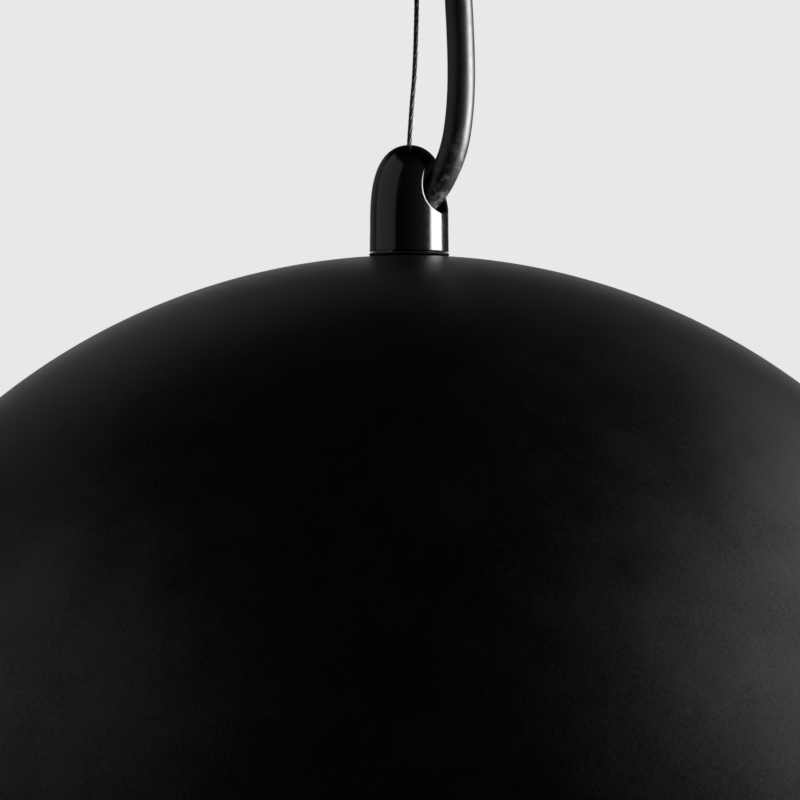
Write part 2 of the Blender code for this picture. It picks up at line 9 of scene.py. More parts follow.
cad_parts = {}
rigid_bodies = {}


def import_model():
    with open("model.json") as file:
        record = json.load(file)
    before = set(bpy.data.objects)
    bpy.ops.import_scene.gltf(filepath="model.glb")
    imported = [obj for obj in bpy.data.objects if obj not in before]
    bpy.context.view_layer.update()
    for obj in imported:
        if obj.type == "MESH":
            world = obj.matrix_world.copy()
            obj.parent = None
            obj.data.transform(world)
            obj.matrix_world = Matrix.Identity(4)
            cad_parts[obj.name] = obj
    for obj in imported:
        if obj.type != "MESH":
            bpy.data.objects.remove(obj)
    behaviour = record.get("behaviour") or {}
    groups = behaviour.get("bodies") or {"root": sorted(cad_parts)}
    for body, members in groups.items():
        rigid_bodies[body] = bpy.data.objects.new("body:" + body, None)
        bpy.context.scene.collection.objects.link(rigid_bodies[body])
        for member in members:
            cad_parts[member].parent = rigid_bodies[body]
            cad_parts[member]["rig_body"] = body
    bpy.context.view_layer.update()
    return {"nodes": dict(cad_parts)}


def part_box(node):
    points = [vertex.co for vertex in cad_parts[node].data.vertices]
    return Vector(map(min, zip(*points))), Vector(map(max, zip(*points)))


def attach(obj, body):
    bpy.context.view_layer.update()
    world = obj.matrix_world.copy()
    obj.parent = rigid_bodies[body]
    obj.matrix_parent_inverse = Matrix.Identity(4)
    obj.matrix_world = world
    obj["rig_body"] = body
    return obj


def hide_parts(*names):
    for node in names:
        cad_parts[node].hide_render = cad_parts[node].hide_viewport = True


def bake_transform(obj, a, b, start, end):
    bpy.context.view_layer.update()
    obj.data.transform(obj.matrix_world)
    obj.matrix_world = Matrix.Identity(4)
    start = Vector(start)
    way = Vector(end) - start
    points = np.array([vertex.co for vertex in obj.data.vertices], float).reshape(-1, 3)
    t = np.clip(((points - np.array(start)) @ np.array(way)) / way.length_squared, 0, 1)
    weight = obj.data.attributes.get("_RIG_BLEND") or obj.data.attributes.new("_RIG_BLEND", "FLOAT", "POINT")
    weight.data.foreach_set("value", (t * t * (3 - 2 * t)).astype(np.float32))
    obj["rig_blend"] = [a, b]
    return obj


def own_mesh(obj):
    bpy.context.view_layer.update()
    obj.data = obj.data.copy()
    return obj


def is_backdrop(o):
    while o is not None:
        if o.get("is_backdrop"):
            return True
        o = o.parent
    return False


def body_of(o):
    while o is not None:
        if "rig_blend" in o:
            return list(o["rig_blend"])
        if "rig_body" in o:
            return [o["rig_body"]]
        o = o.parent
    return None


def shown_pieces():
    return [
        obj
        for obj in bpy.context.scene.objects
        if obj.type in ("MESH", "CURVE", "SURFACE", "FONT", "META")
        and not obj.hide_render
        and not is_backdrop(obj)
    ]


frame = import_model()


# Camera and studio
# A long lens in front of the lamp and a little below the head. The studio is a pale backdrop and a
# black room, with one strong white panel to the right, two weak ones to the left and one below.

MM = 0.001
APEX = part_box("head_gasket")[0].z


def add_object(name, data):
    """An object in the scene, at the origin."""
    made = bpy.data.objects.new(name, data)
    bpy.context.scene.collection.objects.link(made)
    return made


camera = add_object("camera", bpy.data.cameras.new("camera"))
camera.location = (-2.45 * MM, -2.0, APEX - 115 * MM)
camera_target = Vector((-2.45 * MM, 0, APEX - 38.4 * MM))
camera.rotation_euler = (camera_target - camera.location).to_track_quat("-Z", "Y").to_euler()
camera.data.lens = 338
camera.data.sensor_width = 36
camera.data.clip_end = 60
bpy.context.scene.camera = camera
bpy.context.scene.view_settings.view_transform = "Standard"


def mesh_from(name, bm):
    """A mesh with a bmesh's shape, which is then freed."""
    mesh = bpy.data.meshes.new(name)
    bm.to_mesh(mesh)
    bm.free()
    return mesh


def add_node(tree, kind, settings=None, **sockets):
    """A node with its settings and its inputs, which are constants or the outputs of other nodes."""
    node = tree.nodes.new(kind)
    for key, value in (settings or {}).items():
        setattr(node, key, value)
    for key, value in sockets.items():
        numbered = key[0] == "i" and key[1:].isdigit()
        socket = node.inputs[int(key[1:]) if numbered else key.replace("_", " ")]
        if isinstance(value, bpy.types.NodeSocket):
            tree.links.new(value, socket)
        else:
            socket.default_value = value
    return node


def ranged(tree, value, low, high, start=0.0, end=1.0):
    """A value carried from one range to another."""
    ends = {"From_Min": low, "From_Max": high, "To_Min": start, "To_Max": end}
    return add_node(tree, "ShaderNodeMapRange", Value=value, **ends).outputs["Result"]


def two_tone(tree, share, low, high, easing="LINEAR"):
    """A colour between two stops, each a position and a colour."""
    node = add_node(tree, "ShaderNodeValToRGB", Fac=share)
    node.color_ramp.interpolation = easing
    for element, (position, colour) in zip(node.color_ramp.elements, (low, high)):
        element.position = position
        element.color = (*colour, 1)
    return node.outputs["Color"]


def new_material(name, **values):
    """A material with constants on its shader, and the material's node tree and shader."""
    material = bpy.data.materials.new(name)
    material.use_nodes = True
    shader = material.node_tree.nodes["Principled BSDF"]
    for key, value in values.items():
        shader.inputs[key.replace("_", " ")].default_value = value
    return material, material.node_tree, shader


def studio_world():
    """Pale grey where the camera looks; for reflections, a wall of light behind and little else."""
    world = bpy.data.worlds.new("studio")
    world.use_nodes = True
    tree = world.node_tree
    tree.nodes.clear()
    direction = add_node(tree, "ShaderNodeTexCoord").outputs["Generated"]
    depth = ranged(tree, add_node(tree, "ShaderNodeSeparateXYZ", Vector=direction).outputs["Y"], -1.0, 1.0)
    wall = two_tone(tree, depth, (0.955, (0.01, 0.01, 0.01)), (0.992, (0.8, 0.8, 0.8)), "EASE")
    room = add_node(tree, "ShaderNodeBackground", Color=wall, Strength=1.0)
    paper = add_node(tree, "ShaderNodeBackground", Color=(0.807, 0.807, 0.807, 1), Strength=1.0)
    seen = add_node(tree, "ShaderNodeLightPath").outputs["Is Camera Ray"]
    both = add_node(tree, "ShaderNodeMixShader", i0=seen, i1=room.outputs[0], i2=paper.outputs[0])
    add_node(tree, "ShaderNodeOutputWorld", Surface=both.outputs[0])
    bpy.context.scene.world = world


studio_world()


def soft_panel(name, centre, size, watts, colour=(1.0, 1.0, 1.0)):
    """A rectangular panel of light that faces the lamp."""
    light = bpy.data.lights.new(name, "AREA")
    light.shape = "RECTANGLE"
    light.size, light.size_y = size
    light.energy = watts
    light.color = colour
    panel = add_object(name, light)
    panel.location = centre
    aim = Vector((0, 0, APEX)) - Vector(centre)
    panel.rotation_euler = aim.to_track_quat("-Z", "Y").to_euler()
    panel.visible_camera = False
    return panel


main_lights = [
    soft_panel("right_panel", (1.25, -0.06, APEX + 0.15), (0.96, 1.1), 84, (0.97, 0.98, 1.0)),
    soft_panel("left_panel", (-1.16, -0.26, APEX + 0.45), (1.85, 2.2), 4.6),
    soft_panel("left_back_panel", (-1.25, 1.3, APEX + 0.25), (1.1, 1.7), 0.75),
]
soft_panel("low_panel", (0.1, -0.25, APEX - 1.8), (0.7, 0.7), 27, (1.0, 0.99, 0.97))


FLOOR_Z = -4.6


def studio_floor():
    """A wide pale floor well below the lamp, lit evenly by a light of its own."""
    bm = bmesh.new()
    bmesh.ops.create_grid(bm, x_segments=2, y_segments=2, size=14)
    mesh = mesh_from("floor", bm)
    mesh.transform(Matrix.Translation((0, 0, FLOOR_Z)))
    mesh.materials.append(new_material("floor_paint", Base_Color=(0.78, 0.78, 0.78, 1), Roughness=0.9)[0])
    floor = add_object("floor", mesh)
    floor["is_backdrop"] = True
    floor.visible_diffuse = False
    floor.visible_glossy = False
    sky = add_object("floor_light", bpy.data.lights.new("floor_light", "SUN"))
    sky.data.energy = 3.25
    sky.data.angle = 1.5
    sky.light_linking.receiver_collection = bpy.data.collections.new("floor_only")
    sky.light_linking.receiver_collection.objects.link(floor)


studio_floor()


# Power cord
# Round three-core cord in a smooth black sheath, drawn over laid-up cores. It leaves the head's
# side hole, rises beside the rope and ends in the rubber boot under the canopy.

GLAND_X = 14.4
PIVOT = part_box("gripper_plunger")[0].z
ABOVE = (PIVOT - APEX) / MM
CORD_RADIUS = 3.7


def smooth_route(points, steps):
    """Points along a smooth Catmull-Rom curve through the given ones."""
    spots = [Vector(p) for p in points]
    spots = [2 * spots[0] - spots[1], *spots, 2 * spots[-1] - spots[-2]]
    route = []
    for a, b, c, d in zip(spots, spots[1:], spots[2:], spots[3:]):
        for step in range(steps):
            t = step / steps
            route.append(
                b
                + (c - a) * (t / 2)
                + (2 * a - 5 * b + 4 * c - d) * (t * t / 2)
                + (3 * b - a - 3 * c + d) * (t**3 / 2)
            )
    return [*route, spots[-2]]


def from_apex(points):
    """Millimetres above the shade's apex, as the row frame's metres."""
    return [Vector((x * MM, y * MM, APEX + z * MM)) for x, y, z in points]


def skin(name, rings, loop=False, caps=True):
    """A closed mesh through rings of points that have the same count; loop joins the last to the first."""
    bm = bmesh.new()
    layer = bm.loops.layers.uv.new("surface")
    grid = [[bm.verts.new(point) for point in ring] for ring in rings]
    count = len(grid[0])
    runs = len(grid) if loop else len(grid) - 1
    far = 0.0
    for i in range(runs):
        low, high = grid[i], grid[(i + 1) % len(grid)]
        near, far = far, far + (high[0].co - low[0].co).length
        for j in range(count):
            k = (j + 1) % count
            face = bm.faces.new((low[j], low[k], high[k], high[j]))
            places = ((j, near), (j + 1, near), (j + 1, far), (j, far))
            for corner, (around, along) in zip(face.loops, places):
                corner[layer].uv = (around / count, along * 100)
    if caps and not loop:
        bm.faces.new(grid[0])
        bm.faces.new(grid[-1])
    bmesh.ops.remove_doubles(bm, verts=bm.verts, dist=1e-7)
    bmesh.ops.recalc_face_normals(bm, faces=bm.faces)
    mesh = mesh_from(name, bm)
    mesh.shade_smooth()
    mesh.set_sharp_from_angle(angle=math.radians(50))
    return add_object(name, mesh)


def frames_along(route):
    """At each point of a route, its direction and two square directions that never twist about it."""
    frames = []
    side = Vector((0, 1, 0.01))
    for i, spot in enumerate(route):
        ahead = (route[min(i + 1, len(route) - 1)] - route[max(i - 1, 0)]).normalized()
        side = (side - ahead * side.dot(ahead)).normalized()
        frames.append((spot, ahead, side, ahead.cross(side)))
    return frames


def tube_rings(route, radius_at, sides):
    """Rings round a route; radius_at gives the radius from the distance along and the angle round."""
    rings = []
    far = 0.0
    spots = frames_along(route)
    for i, (spot, _, u, v) in enumerate(spots):
        if i:
            far += (spot - spots[i - 1][0]).length
        turns = [math.tau * k / sides for k in range(sides)]
        rings.append([spot + (u * math.cos(t) + v * math.sin(t)) * radius_at(far, t) for t in turns])
    return rings


CORD_POINTS = [
    (2.9, -1.5, 13.4), (4.8, -2.5, 15.4), (6.7, -3.45, 17.4), (8.55, -4.5, 20.3),
    (10.05, -5.4, 23.4), (11.3, -6.1, 26.5), (12.5, -6.6, 31.0), (13.3, -6.6, 36.8),
    (13.7, -6.2, 42.4), (13.84, -5.4, 48.0), (13.78, -4.2, 54.5), (13.53, -2.8, 61.9),
    (13.2, -1.5, 68.3), (13.28, -1.13, 70.5), (13.55, -0.68, 72.8), (13.98, -0.28, 75.2),
    (14.3, -0.07, 77.6), (GLAND_X, 0, 80.5), (GLAND_X, 0, 86), (GLAND_X, 0, ABOVE),
]
CORD_LAY = 0.085


def sheath_radius(far, turn):
    """The sheath shows its three laid-up cores as a very shallow twist."""
    return (CORD_RADIUS + 0.02 * math.cos(3 * (turn - math.tau * far / CORD_LAY))) * MM


def noise(tree, place, scale, detail, roughness=0.5):
    """Cloudy noise, as a value about one half."""
    settings = {"Scale": scale, "Detail": detail, "Roughness": roughness}
    return add_node(tree, "ShaderNodeTexNoise", Vector=place, **settings).outputs["Fac"]


def reckon(tree, operation, a, b, c=0.0):
    """Arithmetic on values."""
    return add_node(tree, "ShaderNodeMath", {"operation": operation}, i0=a, i1=b, i2=c).outputs[0]


def mixed(tree, share, first, second):
    """A colour mixed from two, which are constants or outputs."""
    node = add_node(tree, "ShaderNodeMix", {"data_type": "RGBA"}, Factor=share, i6=first, i7=second)
    return node.outputs[2]


def bumped(tree, height, strength, distance):
    """A surface's normal, tipped by a height."""
    node = add_node(tree, "ShaderNodeBump", Height=height, Strength=strength, Distance=distance)
    return node.outputs["Normal"]


def feed(shader, **outputs):
    """Links outputs to a shader's inputs."""
    for key, output in outputs.items():
        shader.id_data.links.new(output, shader.inputs[key.replace("_", " ")])


def cord_sheath_material():
    """Smooth black sheath: a gloss that wanders, fine pores, and pale marks of handling low down."""
    material, tree, shader = new_material("cord_sheath_gloss", Specular_IOR_Level=0.46)
    place = add_node(tree, "ShaderNodeTexCoord").outputs["Object"]
    rise = add_node(tree, "ShaderNodeSeparateXYZ", Vector=place).outputs["Z"]
    low = ranged(tree, rise, APEX + 36 * MM, APEX + 20 * MM)
    mark = ranged(tree, noise(tree, place, 330.0, 5.0, 0.7), 0.48, 0.66)
    smudge = reckon(tree, "MULTIPLY", low, mark)
    feed(
        shader,
        Base_Color=mixed(tree, smudge, (0.005, 0.005, 0.006, 1), (0.11, 0.11, 0.112, 1)),
        Roughness=ranged(tree, noise(tree, place, 260.0, 3.0), 0.3, 0.7, 0.35, 0.43),
        Normal=bumped(tree, noise(tree, place, 2600.0, 2.0), 0.12, 0.00005),
    )
    return material


def finished(piece, material, slot, body, *nodes):
    """Gives a piece its finish and its body, and hides the CAD nodes it stands for."""
    piece.data.materials.clear()
    piece.data.materials.append(material)
    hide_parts(*nodes)
    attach(piece, body)
    return piece


cord_route = smooth_route(from_apex(CORD_POINTS), 7)
power_cord = skin("power_cord_sheath", tube_rings(cord_route, sheath_radius, 36))
sheath = cord_sheath_material()
power_cord.data.materials.append(sheath)
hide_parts("power_cord")
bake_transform(power_cord, "boot", "lamp", start=cord_route[-22], end=cord_route[22])

# The cord's held end in the gland is a short straight piece of the same sheath.
TAIL_START = 4.9
tail_route = [Vector((GLAND_X * MM, 0, PIVOT + (TAIL_START + step) * MM)) for step in range(13)]
tail_route.append(Vector((GLAND_X * MM, 0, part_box("cord_tail")[1].z)))
cord_tail = skin("cord_tail_sheath", tube_rings(tail_route, sheath_radius, 36))
finished(cord_tail, sheath, "cord_sheath", "ceiling", "cord_tail")


# Suspension rope
# Thin steel wire rope: six strands laid round a core strand, each strand itself of twisted wires.
# It carries the lamp, and runs a little off straight because the cord leans on it.

ROPE_POINTS = [
    (0, 0, 18.65), (0, 0, 24), (0.03, 0, 29.7), (0.36, 0, 35), (0.78, 0, 41), (1.33, 0, 47.5),
    (1.65, 0, 54), (1.86, 0, 61), (1.98, 0, 68), (1.72, 0, 75), (1.1, 0, 82), (0.4, 0, 88.5),
    (0, 0, ABOVE + 0.45),
]
STRAND_RADIUS = 0.207
STRAND_CIRCLE = 0.448
CORE_STRAND = 0.22
ROPE_LAY = 10.0
# Painted light and shade for the rope's twist: every other strand is painted darker, and the core strand
# darkest.
STRAND_LIGHT_AND_SHADE = (1.0, 0.27, 0.85, 0.22, 0.95, 0.3, 0.15)


def rope_material():
    """Drawn steel wire as fine slanted grooves, with painted shade in the valleys between the wires."""
    material, tree, shader = new_material("rope_wires", Metallic=0.8, Roughness=0.62)
    uv = add_node(tree, "ShaderNodeUVMap", {"uv_map": "surface"}).outputs["UV"]
    parts = add_node(tree, "ShaderNodeSeparateXYZ", Vector=uv).outputs
    along = reckon(tree, "MULTIPLY", parts["Y"], 5.0)
    turn = reckon(tree, "MULTIPLY_ADD", parts["X"], 6.0, along)
    share = reckon(tree, "PINGPONG", turn, 0.5)
    # Painted shade: the wire colour is dark in each groove between wires and pale on the crests.
    wire = two_tone(tree, share, (0.02, (0.006, 0.0065, 0.006)), (0.3, (0.27, 0.3, 0.275)))
    # Each strand's painted light and shade scales the wire colour.
    tone = add_node(tree, "ShaderNodeAttribute", {"attribute_name": "strand_light_and_shade"}).outputs["Fac"]
    scaled = add_node(tree, "ShaderNodeVectorMath", {"operation": "SCALE"}, Vector=wire, Scale=tone)
    feed(shader, Base_Color=scaled.outputs["Vector"], Normal=bumped(tree, share, 0.6, 0.00004))
    return material


def strand_route(route, number):
    """One outer strand's own line, wound round the rope's line."""
    wound = []
    far = 0.0
    spots = frames_along(route)
    for i, (spot, _, u, v) in enumerate(spots):
        if i:
            far += (spot - spots[i - 1][0]).length
        turn = math.tau * (number / 6 + far / (ROPE_LAY * MM))
        wound.append(spot + (u * math.cos(turn) + v * math.sin(turn)) * STRAND_CIRCLE * MM)
    return wound


def wire_rope(name, route):
    """The six outer strands and the core strand, as one mesh."""
    strands = []
    for k in range(6):
        rings = tube_rings(strand_route(route, k), lambda far, t: STRAND_RADIUS * MM, 10)
        strands.append(skin(f"{name}_{k}", rings))
    strands.append(skin(f"{name}_6", tube_rings(route, lambda far, t: CORE_STRAND * MM, 8)))
    for strand, tone in zip(strands, STRAND_LIGHT_AND_SHADE):
        layer = strand.data.attributes.new("strand_light_and_shade", "FLOAT", "POINT")
        layer.data.foreach_set("value", [tone] * len(strand.data.vertices))
    return join(name, strands)


def join(name, pieces):
    """Several meshes as one object."""
    bm = bmesh.new()
    for made in pieces:
        bm.from_mesh(made.data)
        bpy.data.objects.remove(made, do_unlink=True)
    return add_object(name, mesh_from(name, bm))


rope_route = smooth_route(from_apex(ROPE_POINTS), 24)
rope = wire_rope("rope_strands", rope_route)
wires = rope_material()
finished(rope, wires, "steel_rope", "lamp", "suspension_rope")

# The rope's held end stays with the ceiling.
tail_low = PIVOT + 0.8 * MM
tail_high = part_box("rope_tail")[1].z
rope_tail = wire_rope(
    "rope_tail_strands",
    [Vector((0, 0, tail_low + (tail_high - tail_low) * k / 60)) for k in range(61)],
)
finished(rope_tail, wires, "steel_rope", "ceiling", "rope_tail")


# Head
# The black moulded plastic fitting on the shade's apex, shaped like a bullet and polished by its
# mould. The cord enters a slanting hole with a rounded lip, and the rope a small hole in the top.

HEAD_SIDE = 10.5
HEAD_SHOULDER = 7.0
HEAD_TOP = 29.7
HEAD_FOOT = 1.05
HEAD_FOOT_ROUND = 0.12
ROPE_HOLE = 0.95
ROPE_LIP = 0.35
MOUTH_MEETS = 10.4
MOUTH_BORE = 5.8
MOUTH_LIP = 0.65
MOUTH_TURN = math.radians(-27)
MOUTH_RISE = math.radians(43)


def head_radius(z):
    """The head's radius at a height above the apex: slight draft, then a bullet's nose."""
    rise = np.clip((z - HEAD_SHOULDER) / (HEAD_TOP - HEAD_SHOULDER), 0, 1)
    draft = np.clip(HEAD_SHOULDER - z, 0, None) * 0.0168
    return (HEAD_SIDE + draft) * np.power(np.clip(1 - rise**3, 0, 1), 1 / 2.2)


def head_mesh():
    """Rings that spread from the cord's mouth over the whole outside, so no seam crosses the gloss."""
    share = np.linspace(0, 1, 6000)
    rise = 1 - (1 - share) ** 2.2
    start = HEAD_FOOT + HEAD_FOOT_ROUND
    low = np.linspace(start, HEAD_SHOULDER, 300)[:-1]
    heights = np.concatenate([low, HEAD_SHOULDER + rise * (HEAD_TOP - HEAD_SHOULDER)])
    radii = head_radius(heights)
    keep = radii >= ROPE_HOLE + ROPE_LIP
    heights, radii = heights[keep], radii[keep]
    climb = np.concatenate([[0], np.cumsum(np.hypot(np.diff(radii), np.diff(heights)))])

    along = np.array([math.cos(MOUTH_RISE), 0, math.sin(MOUTH_RISE)])
    upright = np.array([-math.sin(MOUTH_RISE), 0, math.cos(MOUTH_RISE)])
    across = np.array([0.0, 1.0, 0.0])
    meet = np.array([0, 0, MOUTH_MEETS])
    count = 320
    turns = np.linspace(0, math.tau, count, endpoint=False)
    spokes = np.outer(np.cos(turns), upright) + np.outer(np.sin(turns), across)

    def depth(reach):
        """How far along the bore's direction each spoke meets the head's outside."""
        near, far = np.zeros(count), np.full(count, 40.0)
        for _ in range(50):
            middle = (near + far) / 2
            spot = meet + spokes * reach[:, None] + np.outer(middle, along)
            limit = np.where(spot[:, 2] < HEAD_TOP, head_radius(spot[:, 2]), 0)
            inside = np.hypot(spot[:, 0], spot[:, 1]) < limit
            near, far = np.where(inside, middle, near), np.where(inside, far, middle)
        return near

    touch = np.full(count, MOUTH_BORE + MOUTH_LIP)
    for _ in range(40):
        slope = (depth(touch + 0.01) - depth(touch - 0.01)) / 0.02
        touch = 0.5 * touch + 0.5 * (MOUTH_BORE + MOUTH_LIP - MOUTH_LIP * slope / np.hypot(1, slope))
    outer_depth = depth(touch)
    centre_depth = outer_depth - MOUTH_LIP / np.hypot(1, slope)
    lean = np.arctan2(1, -slope)

    rows = []
    for step in range(13):
        angle = math.pi + (lean - math.pi) * step / 12
        reach = MOUTH_BORE + MOUTH_LIP + MOUTH_LIP * np.cos(angle)
        level = centre_depth + MOUTH_LIP * np.sin(angle)
        rows.append(meet + spokes * reach[:, None] + np.outer(level, along))
    bore = []
    for step in range(8):
        level = -1.0 + (centre_depth + 1.0) * step / 8
        bore.append(meet + spokes * MOUTH_BORE + np.outer(level, along))
    floor = []
    for share_out, drop in ((0.0, 0.35), (0.5, 0.35), (0.93, 0.3)):
        floor.append(meet + spokes * (MOUTH_BORE * share_out) - (1.0 + drop) * along)

    edge = rows[-1]
    around = np.arctan2(edge[:, 1], edge[:, 0]) * HEAD_SIDE
    up = np.interp(edge[:, 2], heights, climb)
    middle = np.array([0.0, (up.max() + up.min()) / 2])
    wide, tall = math.pi * HEAD_SIDE, climb[-1]
    ray = np.stack([around, up], 1) - middle
    room = np.where(ray[:, 1] > 0, tall - middle[1], middle[1])
    stretch = np.minimum(wide / np.maximum(abs(ray[:, 0]), 1e-9), room / np.maximum(abs(ray[:, 1]), 1e-9))
    rim = middle + ray * stretch[:, None]
    for corner in ((wide, 0), (wide, tall), (-wide, 0), (-wide, tall)):
        rim[np.argmin(np.hypot(*(rim - corner).T))] = corner
    sheet = []
    for step in range(1, 91):
        t = (step / 90) ** 1.15
        spot = (1 - t) * np.stack([around, up], 1) + t * rim
        radius = np.interp(spot[:, 1], climb, radii)
        angle = spot[:, 0] / HEAD_SIDE
        height = np.interp(spot[:, 1], climb, heights)
        sheet.append(np.stack([radius * np.cos(angle), radius * np.sin(angle), height], 1))

    bm = bmesh.new()
    grid = [[bm.verts.new(p * MM) for p in ring] for ring in [*floor, *bore, *rows, *sheet]]
    for low_ring, high_ring in zip(grid, grid[1:]):
        for j in range(count):
            k = (j + 1) % count
            bm.faces.new((low_ring[j], low_ring[k], high_ring[k], high_ring[j]))
    bmesh.ops.remove_doubles(bm, verts=bm.verts, dist=1e-8)
    bmesh.ops.dissolve_degenerate(bm, edges=bm.edges, dist=1e-8)
    close_ring(bm, lambda v: v.co.z < 5 * MM, foot_profile())
    close_ring(bm, lambda v: v.co.z > 20 * MM, top_profile(heights[-1], radii[-1]))
    bmesh.ops.recalc_face_normals(bm, faces=bm.faces)
    for vert in bm.verts:
        x, y = vert.co.x, vert.co.y
        c, s = math.cos(MOUTH_TURN), math.sin(MOUTH_TURN)
        vert.co = (x * c - y * s, x * s + y * c, vert.co.z + APEX)
    return mesh_from("head_moulding", bm)


def foot_profile():
    """From the side's foot, round its edge, in under the head, and up its threaded bore."""
    edge = head_radius(np.array(HEAD_FOOT + HEAD_FOOT_ROUND)) - HEAD_FOOT_ROUND
    points = []
    for angle in (-20, -45, -70, -90):
        out, up = math.cos(math.radians(angle)), 1 + math.sin(math.radians(angle))
        points.append((edge + HEAD_FOOT_ROUND * out, HEAD_FOOT + HEAD_FOOT_ROUND * up))
    return points + [(7.5, HEAD_FOOT), (5.5, HEAD_FOOT), (5.3, HEAD_FOOT + 0.2), (5.3, 6.0), (0, 6.0)]


def top_profile(height, radius):
    """Over the rounded lip of the rope's hole and down its wall."""
    points = []
    for angle in (115, 135, 155, 180):
        out, up = math.cos(math.radians(angle)), math.sin(math.radians(angle))
        points.append((radius + ROPE_LIP * out, height - ROPE_LIP + ROPE_LIP * up))
    return points + [(ROPE_HOLE, height - 2.0), (ROPE_HOLE, height - 5.0), (0, height - 5.0)]


def close_ring(bm, chosen, profile):
    """Carries an open round edge along a profile to the axis, which closes the mesh there."""
    edges = [e for e in bm.edges if e.is_boundary and all(chosen(v) for v in e.verts)]
    for radius, height in profile:
        made = bmesh.ops.extrude_edge_only(bm, edges=edges)["geom"]
        edges = [e for e in made if isinstance(e, bmesh.types.BMEdge) and e.is_boundary]
        for vert in {v for e in edges for v in e.verts}:
            flat = math.hypot(vert.co.x, vert.co.y)
            if flat:
                vert.co = (vert.co.x * radius * MM / flat, vert.co.y * radius * MM / flat, height * MM)
    bmesh.ops.remove_doubles(bm, verts=list({v for e in edges for v in e.verts}), dist=1e-7)


def polish_normals(mesh):
    """Gives the moulded outside the exact normals of its curve, for clean reflections."""
    count = len(mesh.vertices)
    spots = np.empty(count * 3)
    mesh.vertices.foreach_get("co", spots)
    spots = spots.reshape(-1, 3)
    normals = np.empty(count * 3)
    mesh.vertex_normals.foreach_get("vector", normals)
    normals = normals.reshape(-1, 3)
    height = (spots[:, 2] - APEX) / MM
    radius = np.hypot(spots[:, 0], spots[:, 1]) / MM
    on_skin = (abs(radius - head_radius(height)) < 0.004) & (height > HEAD_FOOT + HEAD_FOOT_ROUND - 0.01)
    slope = (head_radius(height + 0.002) - head_radius(height - 0.002)) / 0.004
    exact = np.stack([spots[:, 0] / MM / radius.clip(1e-6), spots[:, 1] / MM / radius.clip(1e-6), -slope], 1)
    exact /= np.linalg.norm(exact, axis=1)[:, None]
    agree = (exact * normals).sum(1) > 0.95
    use = on_skin & agree
    normals[use] = exact[use]
    mesh.normals_split_custom_set_from_vertices([tuple(n) for n in normals])


def gloss_plastic():
    """Polished black plastic with the faintest orange peel, a cloudy gloss and settled dust."""
    material, tree, shader = new_material("gloss_moulding", Specular_IOR_Level=0.5)
    place = add_node(tree, "ShaderNodeTexCoord").outputs["Object"]
    haze = noise(tree, place, 420.0, 4.0, 0.6)
    dust = add_node(tree, "ShaderNodeTexVoronoi", Vector=place, Scale=900.0).outputs["Distance"]
    speck = ranged(tree, dust, 0.02, 0.1, 1.0, 0.0)
    feed(
        shader,
        Base_Color=mixed(tree, speck, (0.003, 0.003, 0.0032, 1), (0.02, 0.02, 0.02, 1)),
        Roughness=ranged(tree, haze, 0.35, 0.75, 0.15, 0.21),
        Normal=bumped(tree, noise(tree, place, 150.0, 1.0), 0.05, 0.0001),
    )
    return material


head_moulding = head_mesh()
head_moulding.shade_smooth()
polish_normals(head_moulding)
gloss = gloss_plastic()
finished(add_object("head_moulding", head_moulding), gloss, "gloss_black", "lamp", "head")


# Gasket and shade
# The thin ring under the head keeps it off the lacquer. The shade is spun from one steel disc, with
# a rolled rim, and sprayed in matt black outside and white inside; dust mottles the black.

SHADE_RADIUS = 175.0
SHADE_WALL = 1.2
RIM_ROLL = 1.7


def arc(centre_r, centre_z, radius, start, end, steps):
    """Points on an arc in the turning plane, in degrees from outwards towards up."""
    turns = [math.radians(start + (end - start) * k / steps) for k in range(steps + 1)]
    return [(centre_r + radius * math.cos(t), centre_z + radius * math.sin(t)) for t in turns]


def ring_at(radius_at, z, sides, base=APEX, at=(0, 0)):
    """Points round an upright axis, all in millimetres but base; radius_at gives the radius at an angle."""
    points = []
    for k in range(sides):
        t = math.tau * k / sides
        r = radius_at(t)
        points.append(((at[0] + r * math.cos(t)) * MM, (at[1] + r * math.sin(t)) * MM, base + z * MM))
    return points


def lathe(name, profile, sides=96, base=APEX, at=(0, 0)):
    """A closed profile of (radius, height) points in millimetres, turned about Z."""
    return skin(name, [ring_at(lambda t: r, z, sides, base, at) for r, z in profile], loop=True)


def moulding(name, light, dark, smooth, rough, peel, scale=300.0):
    """Moulded or glazed: faint cloudy colour, a roughness that wanders, and a soft uneven skin."""
    material, tree, shader = new_material(name)
    place = add_node(tree, "ShaderNodeTexCoord").outputs["Object"]
    cloud = noise(tree, place, scale, 5.0, 0.6)
    feed(
        shader,
        Base_Color=two_tone(tree, cloud, (0.35, dark), (0.62, light)),
        Roughness=ranged(tree, cloud, 0.3, 0.7, smooth, rough),
        Normal=bumped(tree, noise(tree, place, scale * 3, 2.0), peel, 0.0001),
    )
    return material


def powder_black():
    """Matt black lacquer: a fine stipple, with cloudy patches where dust and handling change its sheen."""
    material, tree, shader = new_material("shade_lacquer_black")
    place = add_node(tree, "ShaderNodeTexCoord").outputs["Object"]
    cloud = noise(tree, place, 55.0, 6.0, 0.62)
    fine = reckon(tree, "MULTIPLY", noise(tree, place, 1250.0, 4.0, 0.7), 0.6)
    total = reckon(tree, "MULTIPLY_ADD", cloud, 0.4, fine)
    feed(
        shader,
        Base_Color=two_tone(tree, total, (0.4, (0.0003, 0.0003, 0.0004)), (0.62, (0.0022, 0.0022, 0.0024))),
        Roughness=ranged(tree, total, 0.38, 0.62, 0.38, 0.46),
        Specular_IOR_Level=ranged(tree, total, 0.4, 0.62, 0.34, 0.72),
        Normal=bumped(tree, noise(tree, place, 1500.0, 3.0), 0.25, 0.0001),
    )
    return material


